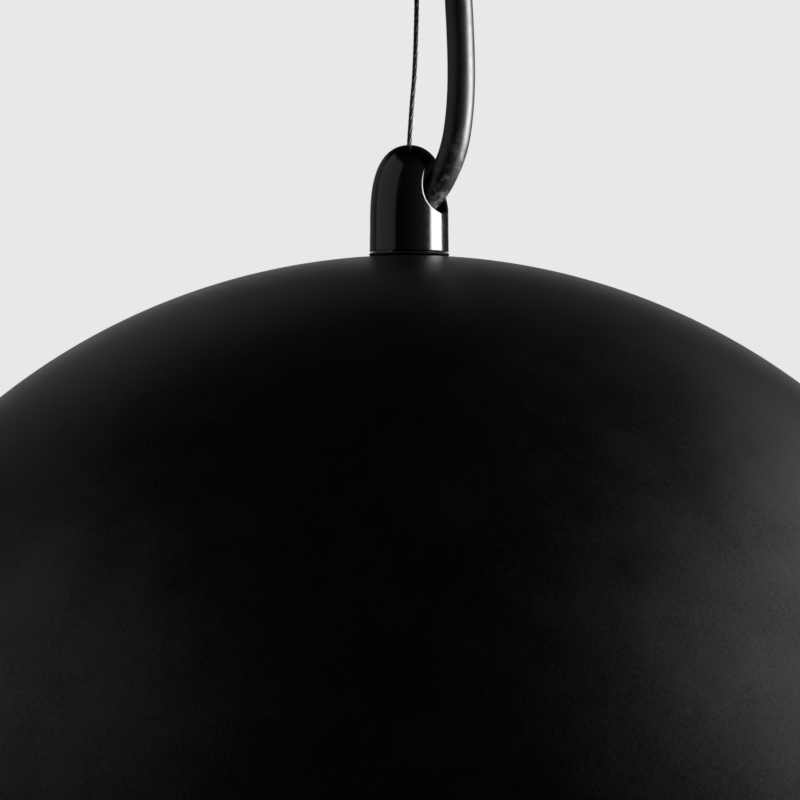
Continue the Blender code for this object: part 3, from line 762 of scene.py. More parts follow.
def shade_profile():
    """Over the dome from its centre hole to the rim, round the rolled rim, and back up inside."""
    inner = SHADE_RADIUS - SHADE_WALL
    points = [(5.3, -0.3), (8.5, -0.3), (10.9, -0.33)]
    points += arc(0, -SHADE_RADIUS, SHADE_RADIUS, 85.9, 1.2, 150)
    points += arc(SHADE_RADIUS - RIM_ROLL, RIM_ROLL - SHADE_RADIUS, RIM_ROLL, 0, -216, 18)
    points += arc(0, -SHADE_RADIUS, inner, 1.2, 85.9, 110)
    return points + [(11.0, -1.55), (5.3, -1.5)]


shade = lathe("shade_spinning", shade_profile(), 288)
lacquer = powder_black()
finished(shade, lacquer, "matt_black_lacquer", "lamp", "shade")
white = moulding("shade_lacquer_white", (0.82, 0.82, 0.8), (0.77, 0.77, 0.745), 0.42, 0.56, 0.2, 120.0)
shade.data.materials.append(white)
for face in shade.data.polygons:
    flat = math.hypot(face.center.x, face.center.y)
    reach = math.hypot(flat, face.center.z - APEX + SHADE_RADIUS * MM)
    above_rim = face.center.z > APEX + (2 - SHADE_RADIUS) * MM
    face.material_index = int(above_rim and reach < (SHADE_RADIUS - 0.7) * MM)

bulge = [(10.45, 0), (10.62, 0.12), (10.68, 0.36), (10.62, 0.6), (10.45, 0.72)]
gasket = lathe("gasket_ring", [(5.4, 0), *bulge, (5.4, 0.72)], 160)
# Painted light: the gasket's black rubber is painted a lighter grey than the boot's, standing in for light
# its dim panels don't give.
rubber = moulding("lightened_gasket_rubber", (0.052, 0.052, 0.053), (0.036, 0.036, 0.037), 0.5, 0.68, 0.35, 420.0)
finished(gasket, rubber, "black_rubber", "lamp", "head_gasket")

# The shade and gasket are lit by dim panels of their own, which keep the lacquer's black deep.
shade_lights = [
    soft_panel("shade_right", (1.75, 0.16, APEX + 0.82), (2.7, 1.3), 13.6, (0.95, 0.97, 1.0)),
    soft_panel("shade_left_side", (-1.83, 0.08, APEX + 0.75), (0.8, 1.5), 1.8),
    soft_panel("shade_left_front", (-1.6, -0.95, APEX + 0.75), (0.9, 1.3), 1.05),
    soft_panel("shade_left_back", (-0.95, 1.45, APEX + 1.0), (1.5, 1.0), 0.5),
    soft_panel("shade_back", (0.3, 1.7, APEX + 0.9), (2.6, 1.2), 0.68),
    soft_panel("shade_right_back", (1.55, 1.3, APEX + 0.95), (1.4, 1.1), 1.7),
]
shade_only = bpy.data.collections.new("shade_only")
not_the_shade = bpy.data.collections.new("not_the_shade")
for group in (shade_only, not_the_shade):
    group.objects.link(shade)
    group.objects.link(gasket)
for item in not_the_shade.collection_objects:
    item.light_linking.link_state = "EXCLUDE"
for light in shade_lights:
    light.light_linking.receiver_collection = shade_only
for light in main_lights:
    light.light_linking.receiver_collection = not_the_shade


# Clamp stack
# What holds the shade to the head: a hollow threaded tube, a plain and a toothed washer and a
# hexagon nut, in zinc-plated steel. A crimped ferrule and a set screw are inside the head.


def metal(name, bright, dull, smooth, rough, marks):
    """Plated or bare metal: cloudy tarnish, a roughness that follows it, and fine tool marks."""
    material, tree, shader = new_material(name, Metallic=1.0)
    place = add_node(tree, "ShaderNodeTexCoord").outputs["Object"]
    cloud = noise(tree, place, 190.0, 6.0, 0.65)
    drawn = add_node(tree, "ShaderNodeMapping", Vector=place, Scale=marks).outputs["Vector"]
    feed(
        shader,
        Base_Color=two_tone(tree, cloud, (0.34, dull), (0.58, bright)),
        Roughness=ranged(tree, cloud, 0.3, 0.65, rough, smooth),
        Normal=bumped(tree, noise(tree, drawn, 1.0, 4.0), 0.3, 0.00005),
    )
    return material


zinc = metal("zinc_plated_steel", (0.56, 0.58, 0.6), (0.36, 0.37, 0.37), 0.24, 0.42, (400, 400, 5000))
nickel = metal("nickel_plated_brass", (0.72, 0.7, 0.66), (0.52, 0.5, 0.46), 0.13, 0.24, (300, 300, 6500))
brass = metal("rolled_brass", (0.74, 0.54, 0.24), (0.5, 0.34, 0.14), 0.22, 0.38, (3500, 500, 500))


def threaded(name, low, high, outer, pitch, depth, inside, rolled=False, sides=72):
    """A tube with a right-hand screw thread outside. inside is its bore, from low to high, or the
    wall of a thin rolled tube, whose inside follows the thread."""
    steps = int((high - low) / pitch * 10)

    def ring(z, reach):
        fade = min(1.0, (high - z) / (0.6 * pitch), (z - low) / (0.6 * pitch))

        def radius_at(turn):
            share = (z / pitch - turn / math.tau) % 1.0
            wave = 0.5 + 0.5 * math.cos(math.tau * share) if rolled else abs(2 * share - 1)
            return reach - depth * (1 - fade * wave)

        return ring_at(radius_at, z, sides)

    heights = [high + (low - high) * k / steps for k in range(steps + 1)]
    rings = [ring(z, outer) for z in heights]
    if rolled:
        rings += [ring(z, outer - inside) for z in reversed(heights)]
    else:
        rings += [ring_at(lambda t: r, z, sides) for r, z in inside]
    return skin(name, rings, loop=True)


tube_bore = [(4.35, -21), (4.0, -20.6), (4.0, 4.45), (4.35, 4.85)]
tube = threaded("threaded_tube_m10", -21, 4.85, 5.0, 1.0, 0.5, tube_bore)
finished(tube, zinc, "steel", "lamp", "threaded_tube")

washer_section = [(5.3, -1.95), (5.45, -1.8), (10.6, -1.8), (11, -2.2)]
washer_section += [(11, -2.9), (10.6, -3.3), (5.45, -3.3), (5.3, -3.15)]
finished(lathe("backing_washer_plain", washer_section), zinc, "steel", "lamp", "backing_washer")


def bevelled_block(name, low, high, bevel, lean=0.0):
    """A box between two corners, in millimetres, with rounded edges; lean shifts its top along Y."""
    bm = bmesh.new()
    bmesh.ops.create_cube(bm, size=1)
    for vert in bm.verts:
        share = [c + 0.5 for c in vert.co]
        vert.co = [(a + (b - a) * s) * MM for a, b, s in zip(low, high, share)]
        vert.co.y += lean * (share[2] - 0.5) * MM
    bmesh.ops.bevel(bm, geom=bm.edges[:], offset=bevel * MM, segments=2, profile=0.5, affect="EDGES")
    return add_object(name, mesh_from(name, bm))


def settle(made):
    """Applies a piece's modifiers for good."""
    bpy.context.view_layer.update()
    mesh = bpy.data.meshes.new_from_object(made.evaluated_get(bpy.context.evaluated_depsgraph_get()))
    made.modifiers.clear()
    made.data = mesh


def ring_of(name, piece, count, radius, height):
    """Copies of one small piece all round a circle, each turned to face out, by Geometry Nodes."""
    tree = bpy.data.node_groups.new(name + "_pattern", "GeometryNodeTree")
    tree.interface.new_socket("Geometry", in_out="OUTPUT", socket_type="NodeSocketGeometry")
    kinds = {"Piece": "Object", "Count": "Int", "Radius": "Float", "Height": "Float", "Finish": "Material"}
    for label, kind in kinds.items():
        tree.interface.new_socket(label, in_out="INPUT", socket_type="NodeSocket" + kind)
    given = add_node(tree, "NodeGroupInput").outputs
    circle = add_node(tree, "GeometryNodeMeshCircle", Vertices=given["Count"], Radius=given["Radius"])
    spot = add_node(tree, "GeometryNodeInputPosition").outputs[0]
    outward = {"axis": "X", "pivot_axis": "Z"}
    facing = add_node(tree, "FunctionNodeAlignRotationToVector", outward, Vector=spot)
    model = add_node(tree, "GeometryNodeObjectInfo", Object=given["Piece"])
    copies = add_node(
        tree, "GeometryNodeInstanceOnPoints", Points=circle.outputs["Mesh"],
        Instance=model.outputs["Geometry"], Rotation=facing.outputs["Rotation"],
    ).outputs["Instances"]
    lift = add_node(tree, "ShaderNodeCombineXYZ", Z=given["Height"]).outputs["Vector"]
    lifted = add_node(tree, "GeometryNodeTransform", Geometry=copies, Translation=lift).outputs["Geometry"]
    real = add_node(tree, "GeometryNodeRealizeInstances", Geometry=lifted).outputs["Geometry"]
    painted = add_node(tree, "GeometryNodeSetMaterial", Geometry=real, Material=given["Finish"])
    add_node(tree, "NodeGroupOutput", Geometry=painted.outputs["Geometry"])
    made = add_object(name, bpy.data.meshes.new(name))
    modifier = made.modifiers.new("pattern", "NODES")
    modifier.node_group = tree
    values = {"Piece": piece, "Count": count, "Radius": radius * MM, "Height": height, "Finish": zinc}
    for item in tree.interface.items_tree:
        if item.in_out == "INPUT":
            modifier[item.identifier] = values[item.name]
    settle(made)
    bpy.data.objects.remove(piece, do_unlink=True)
    return made


tooth = bevelled_block("washer_tooth", (-0.9, -0.55, -0.3), (0.75, 0.55, 0.3), 0.08, lean=0.5)
teeth = ring_of("washer_teeth", tooth, 18, 7.8, APEX - 4.0 * MM)
collar = lathe("washer_collar", [(5.3, -3.75), (7.2, -3.75), (7.2, -4.25), (5.3, -4.25)])
finished(join("toothed_washer_ring", [collar, teeth]), zinc, "steel", "lamp", "toothed_washer")


def hexed(flats, turn, limit=math.inf):
    """The radius of a hexagon at an angle, cut off at a limit."""
    return min(limit, flats / 2 / math.cos((turn % (math.pi / 3)) - math.pi / 6))


def hex_nut(name, flats, low, high, bore, base=APEX, at=(0, 0)):
    """A hexagon nut with its corners chamfered at both ends and a countersunk bore."""
    limit = flats / 2 + 0.12
    bevel = (flats / math.sqrt(3) - flats / 2) * 0.5
    levels = [
        (low + 0.4, lambda t: bore),
        (low, lambda t: bore + 0.4),
        (low, lambda t: hexed(flats, t, limit)),
        (low + bevel, lambda t: hexed(flats, t)),
        (high - bevel, lambda t: hexed(flats, t)),
        (high, lambda t: hexed(flats, t, limit)),
        (high, lambda t: bore + 0.4),
        (high - 0.4, lambda t: bore),
    ]
    return skin(name, [ring_at(radius, z, 96, base, at) for z, radius in levels], loop=True)


finished(hex_nut("lock_nut_m10", 14, -8.7, -4.7, 5.3), zinc, "steel", "lamp", "lock_nut")

ferrule_section = [(0.9, 18.65), (1.9, 18.65), (2.1, 18.9)]
for z in (19.6, 21.1, 22.6):
    ferrule_section += [(2.1, z - 0.35), (1.75, z - 0.2), (1.75, z + 0.2), (2.1, z + 0.35)]
ferrule_section += [(2.1, 23.3), (1.8, 23.65), (0.9, 23.65)]
finished(lathe("crimped_ferrule", ferrule_section, 48), nickel, "nickel", "lamp", "rope_ferrule")


def fastener(name, foot, head_spot, radius, drive, edge=0.2):
    """A screw or rivet along a line, in millimetres; drive is the radius of its recess at an angle."""
    foot, head_spot = Vector(foot), Vector(head_spot)
    length = (head_spot - foot).length
    levels = [
        (0, lambda t: radius - edge),
        (edge, lambda t: radius),
        (length - edge, lambda t: radius),
        (length - 0.25 * edge, lambda t: radius - 0.4 * edge),
        (length, lambda t: radius - edge),
    ]
    if drive:
        levels += [(length, drive), (length - 0.55 * radius, drive)]
    turns = [math.tau * k / 48 for k in range(48)]
    rings = [[Vector((r(t) * math.cos(t), r(t) * math.sin(t), z)) for t in turns] for z, r in levels]
    made = skin(name, rings)
    made.data.transform(Matrix.Scale(MM, 4))
    aim = (head_spot - foot).to_track_quat("Z", "Y").to_matrix().to_4x4()
    made.data.transform(Matrix.Translation(foot * MM) @ aim)
    return made


APEX_MM = APEX / MM
set_z = APEX_MM + 3.65
set_screw = fastener("head_set_screw", (0, 5.5, set_z), (0, 9.9, set_z), 1.5, lambda t: hexed(1.5, t))
finished(set_screw, zinc, "steel", "lamp", "head_grub_screw")


# Lamp holder
# A moulded cap with its set screw, a porcelain insert, and a skirt with a screw thread for the
# ribbed ring. Inside are the rolled brass shell, the contact springs and the terminals.

bakelite = moulding("black_bakelite", (0.022, 0.021, 0.02), (0.011, 0.01, 0.01), 0.26, 0.4, 0.1)
porcelain = moulding("glazed_porcelain", (0.86, 0.85, 0.81), (0.78, 0.76, 0.71), 0.12, 0.24, 0.12, 160.0)
nylon = moulding("moulded_nylon", (0.84, 0.83, 0.79), (0.76, 0.75, 0.7), 0.36, 0.5, 0.1)


def drilled(piece, *cutters):
    """Cuts other meshes out of a piece for good."""
    for cutter in cutters:
        modifier = piece.modifiers.new("drill", "BOOLEAN")
        modifier.object = cutter
        modifier.operation = "DIFFERENCE"
        modifier.solver = "EXACT"
    settle(piece)
    piece.data.set_sharp_from_angle(angle=math.radians(35))
    for cutter in cutters:
        bpy.data.objects.remove(cutter, do_unlink=True)
    return piece


def hole(start, end, radius):
    """A cutter for a round hole along a line, in millimetres."""
    return fastener("hole", start, end, radius, None, 0.0001)


cap_section = [(5.3, -11), (7.1, -11), *arc(7.6, -11.6, 0.6, 90, 0, 4)]
cap_section += [(8.2, -17.5), (8.4, -18.2), (9.2, -18.6), *arc(12, -27, 8.4, 95, 4, 16)]
cap_section += [(20.4, -28.5), (20.4, -33.2), (20.1, -33.5), (18.2, -33.5), (18.2, -27)]
cap_section += [*arc(12, -27, 6.4, 12, 84, 12), (5.3, -20.2)]
holder_cap = lathe("holder_cap_moulding", cap_section)
cap_screw_z = APEX_MM - 14
drilled(holder_cap, hole((0, -12, cap_screw_z), (0, -4, cap_screw_z), 1.6))
finished(holder_cap, bakelite, "black_bakelite", "lamp", "holder_cap")
cap_screw_ends = ((0, -5.4, cap_screw_z), (0, -9.4, cap_screw_z))
cap_screw = fastener("cap_set_screw", *cap_screw_ends, 1.3, lambda t: hexed(1.3, t))
finished(cap_screw, zinc, "steel", "lamp", "cap_grub_screw")

insert_section = [(2.4, -28.3), (2.7, -28), *arc(17.0, -28.6, 0.6, 90, 0, 4)]
insert_section += [*arc(17.0, -35.4, 0.6, 0, -90, 4), (2.7, -36), (2.4, -35.7)]
finished(lathe("porcelain_insert", insert_section), porcelain, "porcelain", "lamp", "holder_insert")

skirt_bore = [(19.2, -72), (16.3, -72), (15.5, -71.2), (15.3, -71)]
skirt_bore += [(15.3, -37.4), (15.5, -37.2), (18.0, -37.2), (18.0, -33.8)]
skirt = threaded("threaded_skirt", -72, -33.8, 20.0, 2.5, 0.5, skirt_bore)
finished(skirt, bakelite, "black_bakelite", "lamp", "holder_skirt")

shell = threaded("rolled_shell", -65, -36.3, 14.9, 3.62, 0.55, 0.35, rolled=True)
finished(shell, brass, "brass", "lamp", "screw_shell")

rib = bevelled_block("ring_rib", (-0.5, -0.55, -2.4), (0.6, 0.55, 2.4), 0.25)
ribs = ring_of("ring_ribs", rib, 48, 24.9, APEX - 49 * MM)
ring_section = [(20.3, -46.4), (20.7, -46), (24.4, -46), (24.8, -46.4)]
ring_section += [(24.8, -51.6), (24.4, -52), (20.7, -52), (20.3, -51.6)]
ribbed = join("ribbed_ring", [lathe("ring_band", ring_section), ribs])
finished(ribbed, bakelite, "black_bakelite", "lamp", "holder_ring")


def slot_radius(half_width, limit):
    """A straight screwdriver slot, as a recess's radius at an angle."""
    return lambda t: min(limit, half_width / max(abs(math.sin(t)), 1e-6))


def refinish(material, *nodes):
    """A CAD node whose shape is right keeps it, with softened edges and a finish of its own."""
    for node in nodes:
        made = frame["nodes"][node]
        bevel = made.modifiers.new("soft_edges", "BEVEL")
        bevel.width = 0.15 * MM
        bevel.segments = 2
        bevel.limit_method = "ANGLE"
        bevel.angle_limit = math.radians(45)
        for slot in made.material_slots:
            slot.material = material


refinish(brass, "centre_contact", "side_contact", "live_terminal", "neutral_terminal")
earth_ends = ((0, 10.5, APEX_MM - 27.7), (0, 10.5, APEX_MM - 26.6))
earth = fastener("earth_terminal_screw", *earth_ends, 2.2, slot_radius(0.4, 1.9))
finished(earth, zinc, "steel", "lamp", "earth_screw")


# Cores inside the head and tube
# The cord's three insulated cores part inside the head and pass down the tube to the terminals:
# brown for live, blue for neutral, and green and yellow for earth.

CORE_RADIUS = 1.1
TERMINAL_Z = -26.1


def core_sheath(name, light, dark, stripe=None):
    """Soft extruded insulation; the earth core carries a yellow stripe along its length."""
    material = moulding(name, light, dark, 0.34, 0.48, 0.08, 500.0)
    if stripe:
        tree = material.node_tree
        shader = tree.nodes["Principled BSDF"]
        plain = shader.inputs["Base Color"].links[0].from_socket
        uv = add_node(tree, "ShaderNodeUVMap", {"uv_map": "surface"}).outputs["UV"]
        around = add_node(tree, "ShaderNodeSeparateXYZ", Vector=uv).outputs["X"]
        edge = reckon(tree, "GREATER_THAN", reckon(tree, "PINGPONG", around, 0.5), 0.3)
        feed(shader, Base_Color=mixed(tree, edge, plain, (*stripe, 1)))
    return material


YELLOW = (0.8, 0.66, 0.03)
CORES = {
    "live": core_sheath("brown_insulation", (0.19, 0.075, 0.03), (0.13, 0.05, 0.02)),
    "neutral": core_sheath("blue_insulation", (0.02, 0.13, 0.5), (0.015, 0.09, 0.38)),
    "earth": core_sheath("green_yellow_insulation", (0.07, 0.33, 0.06), (0.05, 0.25, 0.04), YELLOW),
}
CORE_SLOTS = {"live": "brown_core", "neutral": "blue_core", "earth": "green_yellow_core"}
LOWER_ROUTES = {
    "live": [
        (3.8, -1.95, 11.8), (2.7, -0.7, 8.5), (2.1, 0, 4.5), (2.1, 0, -8), (2.1, 0, -20),
        (2.5, 0, -23.6), (4.4, 0, TERMINAL_Z + 0.2), (7, 0, TERMINAL_Z), (10, 0, TERMINAL_Z),
    ],
    "neutral": [
        (1.5, -0.8, 14.6), (-0.9, -0.1, 11), (-2.1, 0, 6), (-2.1, 0, -8), (-2.1, 0, -20),
        (-2.5, 0, -23.6), (-4.4, 0, TERMINAL_Z + 0.2), (-7, 0, TERMINAL_Z), (-10, 0, TERMINAL_Z),
    ],
    "earth": [
        (3.5, 0.3, 13.2), (1.4, 1.9, 9.5), (0, 2.1, 5.0), (0, 2.1, -8), (0, 2.1, -19),
        (0, 4.6, -23.4), (0, 8.6, -24.2), (0, 10.5, -25.3),
    ],
}
for kind, points in LOWER_ROUTES.items():
    route = smooth_route(from_apex(points), 6)
    core = skin(f"lower_{kind}_core", tube_rings(route, lambda far, t: CORE_RADIUS * MM, 20))
    finished(core, CORES[kind], CORE_SLOTS[kind], "lamp", f"core_{kind}")


# Bulb
# A screw-in bulb: a soldered tip contact in a black insulator, a rolled cap, a white collar that
# cools the light board, and an opal globe. The light board carries two rings of chips.

tip_section = [(0, -41.2), (1.6, -41.25), (2.8, -41.5), (3.6, -41.9), (4.6, -42.35), (4.6, -42.4), (0, -42.4)]
finished(lathe("solder_tip", tip_section, 48), nickel, "nickel", "bulb_tip", "bulb_contact")
cone_section = [(0, -42.7), (4.8, -42.7), (5.2, -42.8), (11.0, -45.5)]
cone_section += [(11.2, -45.8), (11.2, -46.2), (11.0, -46.4), (0, -46.4)]
finished(lathe("tip_insulator", cone_section), bakelite, "black_bakelite", "bulb_tip", "bulb_insulator")

bulb_cap = threaded("rolled_cap", -67, -46.9, 13.1, 3.62, 0.55, 0.3, rolled=True, sides=96)
finished(bulb_cap, nickel, "nickel", "bulb", "bulb_cap")

collar_points = [(13.4, -67.3), (14.6, -72), (19.0, -82), (25.2, -93), (28.6, -101), (29.4, -106)]
collar_route = smooth_route([(r, 0, z) for r, z in collar_points], 8)
collar_section = [(11.0, -67.3)] + [(p.x, p.z) for p in collar_route]
collar_section += [(p.x - 1.8 if p.z < -68 else p.x - 1.2, p.z) for p in reversed(collar_route[1:])]
finished(lathe("cooling_collar", collar_section), nylon, "white_nylon", "bulb", "bulb_collar")

board_section = [(2.0, -101.4), (24.7, -101.4), (25, -101.7), (25, -102.3), (24.7, -102.6), (2.0, -102.6)]
board_parts = [lathe("board_disc", board_section)]
for radius, count in ((18.0, 14), (9.0, 7)):
    chip = bevelled_block(f"chip_{count}", (-1.4, -1.75, -0.4), (1.4, 1.75, 0), 0.12)
    board_parts.append(ring_of(f"chips_{count}", chip, count, radius, APEX - 102.6 * MM))
board = join("light_board_chips", board_parts)
mask = moulding("white_solder_mask", (0.82, 0.83, 0.81), (0.76, 0.77, 0.75), 0.3, 0.4, 0.05)
finished(board, mask, "porcelain", "bulb", "light_board")
board.data.materials.append(moulding("chip_phosphor", (0.85, 0.66, 0.12), (0.8, 0.58, 0.08), 0.3, 0.42, 0.1))
for face in board.data.polygons:
    face.material_index = int(face.center.z < APEX - 102.62 * MM)


def opal_plastic():
    """Frosted opal: milky and softly see-through, with the faintest speckle of its diffuser."""
    material = moulding("opal_plastic", (0.9, 0.9, 0.87), (0.85, 0.85, 0.81), 0.32, 0.42, 0.06, 220.0)
    shader = material.node_tree.nodes["Principled BSDF"]
    shader.inputs["Subsurface Weight"].default_value = 0.35
    shader.inputs["Subsurface Radius"].default_value = (0.004, 0.004, 0.0035)
    shader.inputs["Subsurface Scale"].default_value = 0.5
    return material


globe_section = [(28.9, -106.3), (29.4, -107.8), (29.8, -110), (30, -113), (30, -120)]
globe_section += arc(0, -120, 30, -2, -90, 40) + arc(0, -120, 28.8, -90, -2, 40)
globe_section += [(28.8, -120), (28.8, -113), (28.6, -110), (28.2, -107.8), (27.7, -106.3)]
finished(lathe("opal_globe", globe_section, 128), opal_plastic(), "opal_diffuser", "bulb", "bulb_globe")


# Ceiling bracket and rope gripper
# A T-shaped bracket of pressed, zinc-plated steel with two screw slots and a threaded boss. The
# nickel-plated gripper screws into it and holds the rope with three sprung balls.

pressed = metal("pressed_zinc_strip", (0.58, 0.59, 0.58), (0.4, 0.4, 0.37), 0.28, 0.46, (250, 3200, 250))
refinish(pressed, "ceiling_bracket")

housing_section = [(0, -3), (3.6, -3), (4, -3.4)]
for turn in range(5):
    housing_section += [(4, -4.0 - turn), (3.6, -4.4 - turn), (4, -4.8 - turn)]
housing_section += [(4, -9.3), (5.5, -9.3), (6, -9.8), (6, -13.4), (5.8, -13.6), (5.8, -14.4), (6, -14.6)]
housing_section += [(6, -23.6), (5.8, -24.1), (4.3, -24.85), (4, -25.2), (4, -34.2), (3.7, -34.6)]
housing_section += [(2.4, -34.6), (2.15, -34.35), (2.15, -33), (3.2, -33), (3.2, -22), (2.4, -22)]
housing_section += [(2.4, -13), (1.1, -12), (0, -12)]
housing = lathe("gripper_housing_turned", housing_section, 72, 0)
finished(housing, nickel, "nickel", "ceiling", "gripper_housing")

plunger_section = [(1.0, 17), (1.6, 17), (1.6, 7), (2.6, 7), (2.75, 6.8), (2.75, 5.5), (2.6, 5.3), (1.8, 5.3)]
plunger_section += [(1.8, 0.5), (1.7, 0.15), (1.5, 0), (1.35, 0), (1.15, 0.3), (1.0, 1.2)]
plunger = lathe("gripper_plunger_turned", plunger_section, 48, PIVOT)
finished(plunger, nickel, "nickel", "plunger", "gripper_plunger")
refinish(zinc, "gripper_ball_1", "gripper_ball_2", "gripper_ball_3")

SPRING_COIL = 2.8
SPRING_LOW = -29.4
SPRING_HIGH = -22.6
SPRING_TURNS = 4
spring_route = []
for step in range(SPRING_TURNS * 28 + 1):
    turn = math.tau * step / 28
    share = step / (SPRING_TURNS * 28)
    rise = share - 0.55 * math.sin(math.tau * share) / math.tau
    height = SPRING_LOW + (SPRING_HIGH - SPRING_LOW) * rise
    spring_route.append(Vector((SPRING_COIL * math.cos(turn), SPRING_COIL * math.sin(turn), height)) * MM)
spring = skin("coiled_spring", tube_rings(spring_route, lambda far, t: 0.22 * MM, 10))
spring_wire = metal("spring_wire", (0.5, 0.5, 0.5), (0.34, 0.33, 0.32), 0.25, 0.38, (2500, 2500, 2500))
finished(spring, spring_wire, "steel", "ceiling", "gripper_spring")
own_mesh(spring)


# Canopy
# A spun steel cup in the shade's matt black, which hides the bracket and the connections. A
# knurled black nut on the gripper's neck holds it up.

canopy_section = [(55, -0.5), *arc(48, -23, 7, 0, -90, 16), (30, -30), (16, -30), (4.6, -30), (4.4, -29.8)]
canopy_section += [(4.4, -28.5), (16, -28.5), (30, -28.5), *arc(48, -23, 5.5, -90, 0, 12), (53.5, -0.5)]
canopy = lathe("canopy_spinning", canopy_section, 160, 0)
drilled(canopy, hole((GLAND_X, 0, -36), (GLAND_X, 0, -20), 6.1))
finished(canopy, lacquer, "matt_black_lacquer", "ceiling", "canopy")
shade_only.objects.link(canopy)
not_the_shade.objects.link(canopy)
not_the_shade.collection_objects[-1].light_linking.link_state = "EXCLUDE"

ridge = bevelled_block("knurl_ridge", (-0.3, -0.24, -1.55), (0.22, 0.24, 1.55), 0.12)
ridges = ring_of("knurl_ridges", ridge, 40, 5.97, -32.3 * MM)
nut_section = [(4.5, -30.3), (5.6, -30.3), (5.85, -30.55), (5.85, -34.0)]
nut_section += [(5.6, -34.3), (4.5, -34.3), (4.3, -34.1), (4.3, -30.5)]
knurled = join("knurled_nut", [lathe("knurled_body", nut_section, 80, 0), ridges])
finished(knurled, gloss, "gloss_black", "ceiling", "canopy_nut")


# Cord gland and boot
# A black moulded gland in the canopy's floor, held by a white nut above it, and the rubber boot
# that tilts in the gland's round seat when the lamp swings.

gland_section = [(4.3, -20), (5.4, -20), (5.8, -20.4)]
for turn in range(6):
    gland_section += [(5.8, -20.9 - 1.3 * turn), (5.4, -21.3 - 1.3 * turn), (5.8, -21.7 - 1.3 * turn)]
gland_section += [(5.8, -30.3), (6.8, -30.3), (7.5, -30.9), (7.5, -38.1), (7.3, -38.6), (6.5, -39.75)]
gland_section += [(5.98, -39.54), *arc(0, -37, 6.5, -20, 40, 12), (4.3, -32)]
gland_body = lathe("gland_body", gland_section, 96, 0, (GLAND_X, 0))
grip = bevelled_block("gland_grip", (-0.4, -0.6, -3.2), (0.3, 0.6, 3.2), 0.22)
grips = ring_of("gland_grips", grip, 16, 7.5, -34.6 * MM)
grips.data.transform(Matrix.Translation((GLAND_X * MM, 0, 0)))
finished(join("cord_gland_moulding", [gland_body, grips]), bakelite, "gloss_black", "ceiling", "cord_gland")

gland_nut = hex_nut("gland_nut_moulding", 14.6, -28.2, -24, 6.1, 0, (GLAND_X, 0))
finished(gland_nut, nylon, "white_nylon", "ceiling", "gland_nut")

boot_section = [(4.0, 3.47)] + arc(0, 0, 6.2, 34, -35, 18) + [(4.75, -4.3)]
for fold in range(6):
    top = -5.4 - 1.85 * fold
    boot_section += [(4.77, top), (4.45, top - 0.3), (4.45, top - 0.75), (4.8, top - 1.05)]
boot_section += [(4.9, -16.8), (4.75, -17), (4.4, -17), (4.25, -16.8), (4.0, -12)]
boot_rubber = moulding("boot_rubber", (0.01, 0.01, 0.0102), (0.006, 0.006, 0.0062), 0.5, 0.68, 0.35, 420.0)
boot = lathe("folded_boot", boot_section, 72, PIVOT, (GLAND_X, 0))
finished(boot, boot_rubber, "black_rubber", "boot", "cord_boot")


# Terminal block and upper cores
# A white block with three brass tubes and six slotted screws, riveted under the bracket's arm.
# The cord's cores come up through the gland, go round the gripper and end in it.

POLES = (-7, 0, 7)
SCREWS_X = (-33, -23)
tower_section = [(1.7, -12), (2.9, -12), (2.7, -15.8), (2.5, -16), (1.9, -16), (1.7, -15.8)]
towers = []
for pole in POLES:
    towers += [lathe(f"tower_{pole}_{x}", tower_section, 40, 0, (x, pole)) for x in SCREWS_X]
bodies = []
for pole in POLES:
    body = bevelled_block(f"pole_{pole}", (-38, pole - 3.35, -13.6), (-18, pole + 3.35, -5.4), 0.6)
    ends = [hole((-45, pole, -10), (-10, pole, -10), 2.2)]
    ends += [hole((x, pole, -20), (x, pole, -11.5), 1.7) for x in SCREWS_X]
    bodies.append(drilled(body, *ends))
base_plate = bevelled_block("block_base", (-36.5, -11.5, -5.4), (-19.5, 11.5, -4.6), 0.25)
block = join("terminal_block_moulding", [base_plate, *bodies, *towers])
block.data.set_sharp_from_angle(angle=math.radians(35))
finished(block, nylon, "white_nylon", "ceiling", "terminal_block")

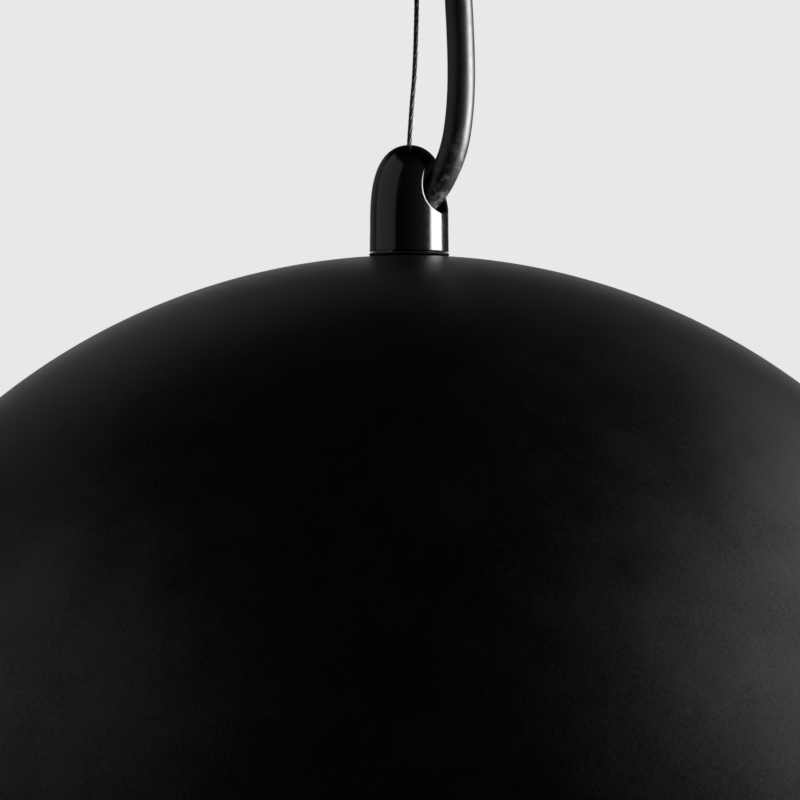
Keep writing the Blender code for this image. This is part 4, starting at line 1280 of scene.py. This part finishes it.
pole_tube_section = [(1.4, 0.2), (1.6, 0), (1.75, 0), (1.9, 0.15)]
pole_tube_section += [(1.9, 15.85), (1.75, 16), (1.6, 16), (1.4, 15.8)]
tubes = []
screws = []
for pole in POLES:
    made = lathe(f"tube_{pole}", pole_tube_section, 40, 0)
    made.data.transform(Matrix.Rotation(math.pi / 2, 4, "Y"))
    made.data.transform(Matrix.Translation(Vector((-36, pole, -10)) * MM))
    tubes.append(made)
    for x, groove in zip(SCREWS_X, (0.3, 0.32)):
        ends = ((x, pole, -12.25), (x, pole, -15.6))
        screws.append(fastener(f"screw_{pole}_{x}", *ends, 1.35, slot_radius(groove, 1.12), 0.12))
tube_nodes = [f"terminal_tube_{k}" for k in range(1, 4)]
finished(join("terminal_tubes", tubes), brass, "brass", "ceiling", *tube_nodes)
screw_nodes = [f"terminal_screw_{k}" for k in range(1, 7)]
finished(join("terminal_screws", screws), zinc, "steel", "ceiling", *screw_nodes)
rivet = fastener("rivet_head", (-28, 0, -2.3), (-28, 0, -4.3), 3.0, lambda t: 1.2, 0.5)
finished(rivet, zinc, "steel", "ceiling", "block_rivet")

UPPER_ROUTES = {
    "live": ((0, 1.9), 7.0, [(11, 8.0, -11.5), (0, 10.2, -10), (-11, 9.0, -10)]),
    "neutral": ((0, -1.9), -7.0, [(11, -8.0, -11.5), (0, -10.2, -10), (-11, -9.0, -10)]),
    "earth": ((2.0, 0), 0.0, [(15, 7, -14.6), (4, 13.2, -13.4), (-10, 8.5, -13.3), (-14, 2, -11)]),
}
for kind, (offset, pole, bend) in UPPER_ROUTES.items():
    points = [(GLAND_X + offset[0], offset[1], -17.7), (GLAND_X + offset[0] - 0.5, offset[1] * 1.3, -15)]
    points += [*bend, (-18.0, pole, -10), (-20.5, pole, -10)]
    route = [spot * MM for spot in smooth_route(points, 10)]
    core = skin(f"upper_{kind}_core", tube_rings(route, lambda far, t: CORE_RADIUS * MM, 20))
    finished(core, CORES[kind], CORE_SLOTS[kind], "ceiling", f"core_{kind}_top")


# Everything at the ceiling has one more light, from above, which nothing below it sees.
ceiling_light = soft_panel("ceiling_panel", (-0.1, 0.6, 1.4), (2.0, 2.0), 9)
ceiling_light.light_linking.receiver_collection = bpy.data.collections.new("ceiling_only")
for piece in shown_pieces():
    if body_of(piece) == ["ceiling"]:
        ceiling_light.light_linking.receiver_collection.objects.link(piece)
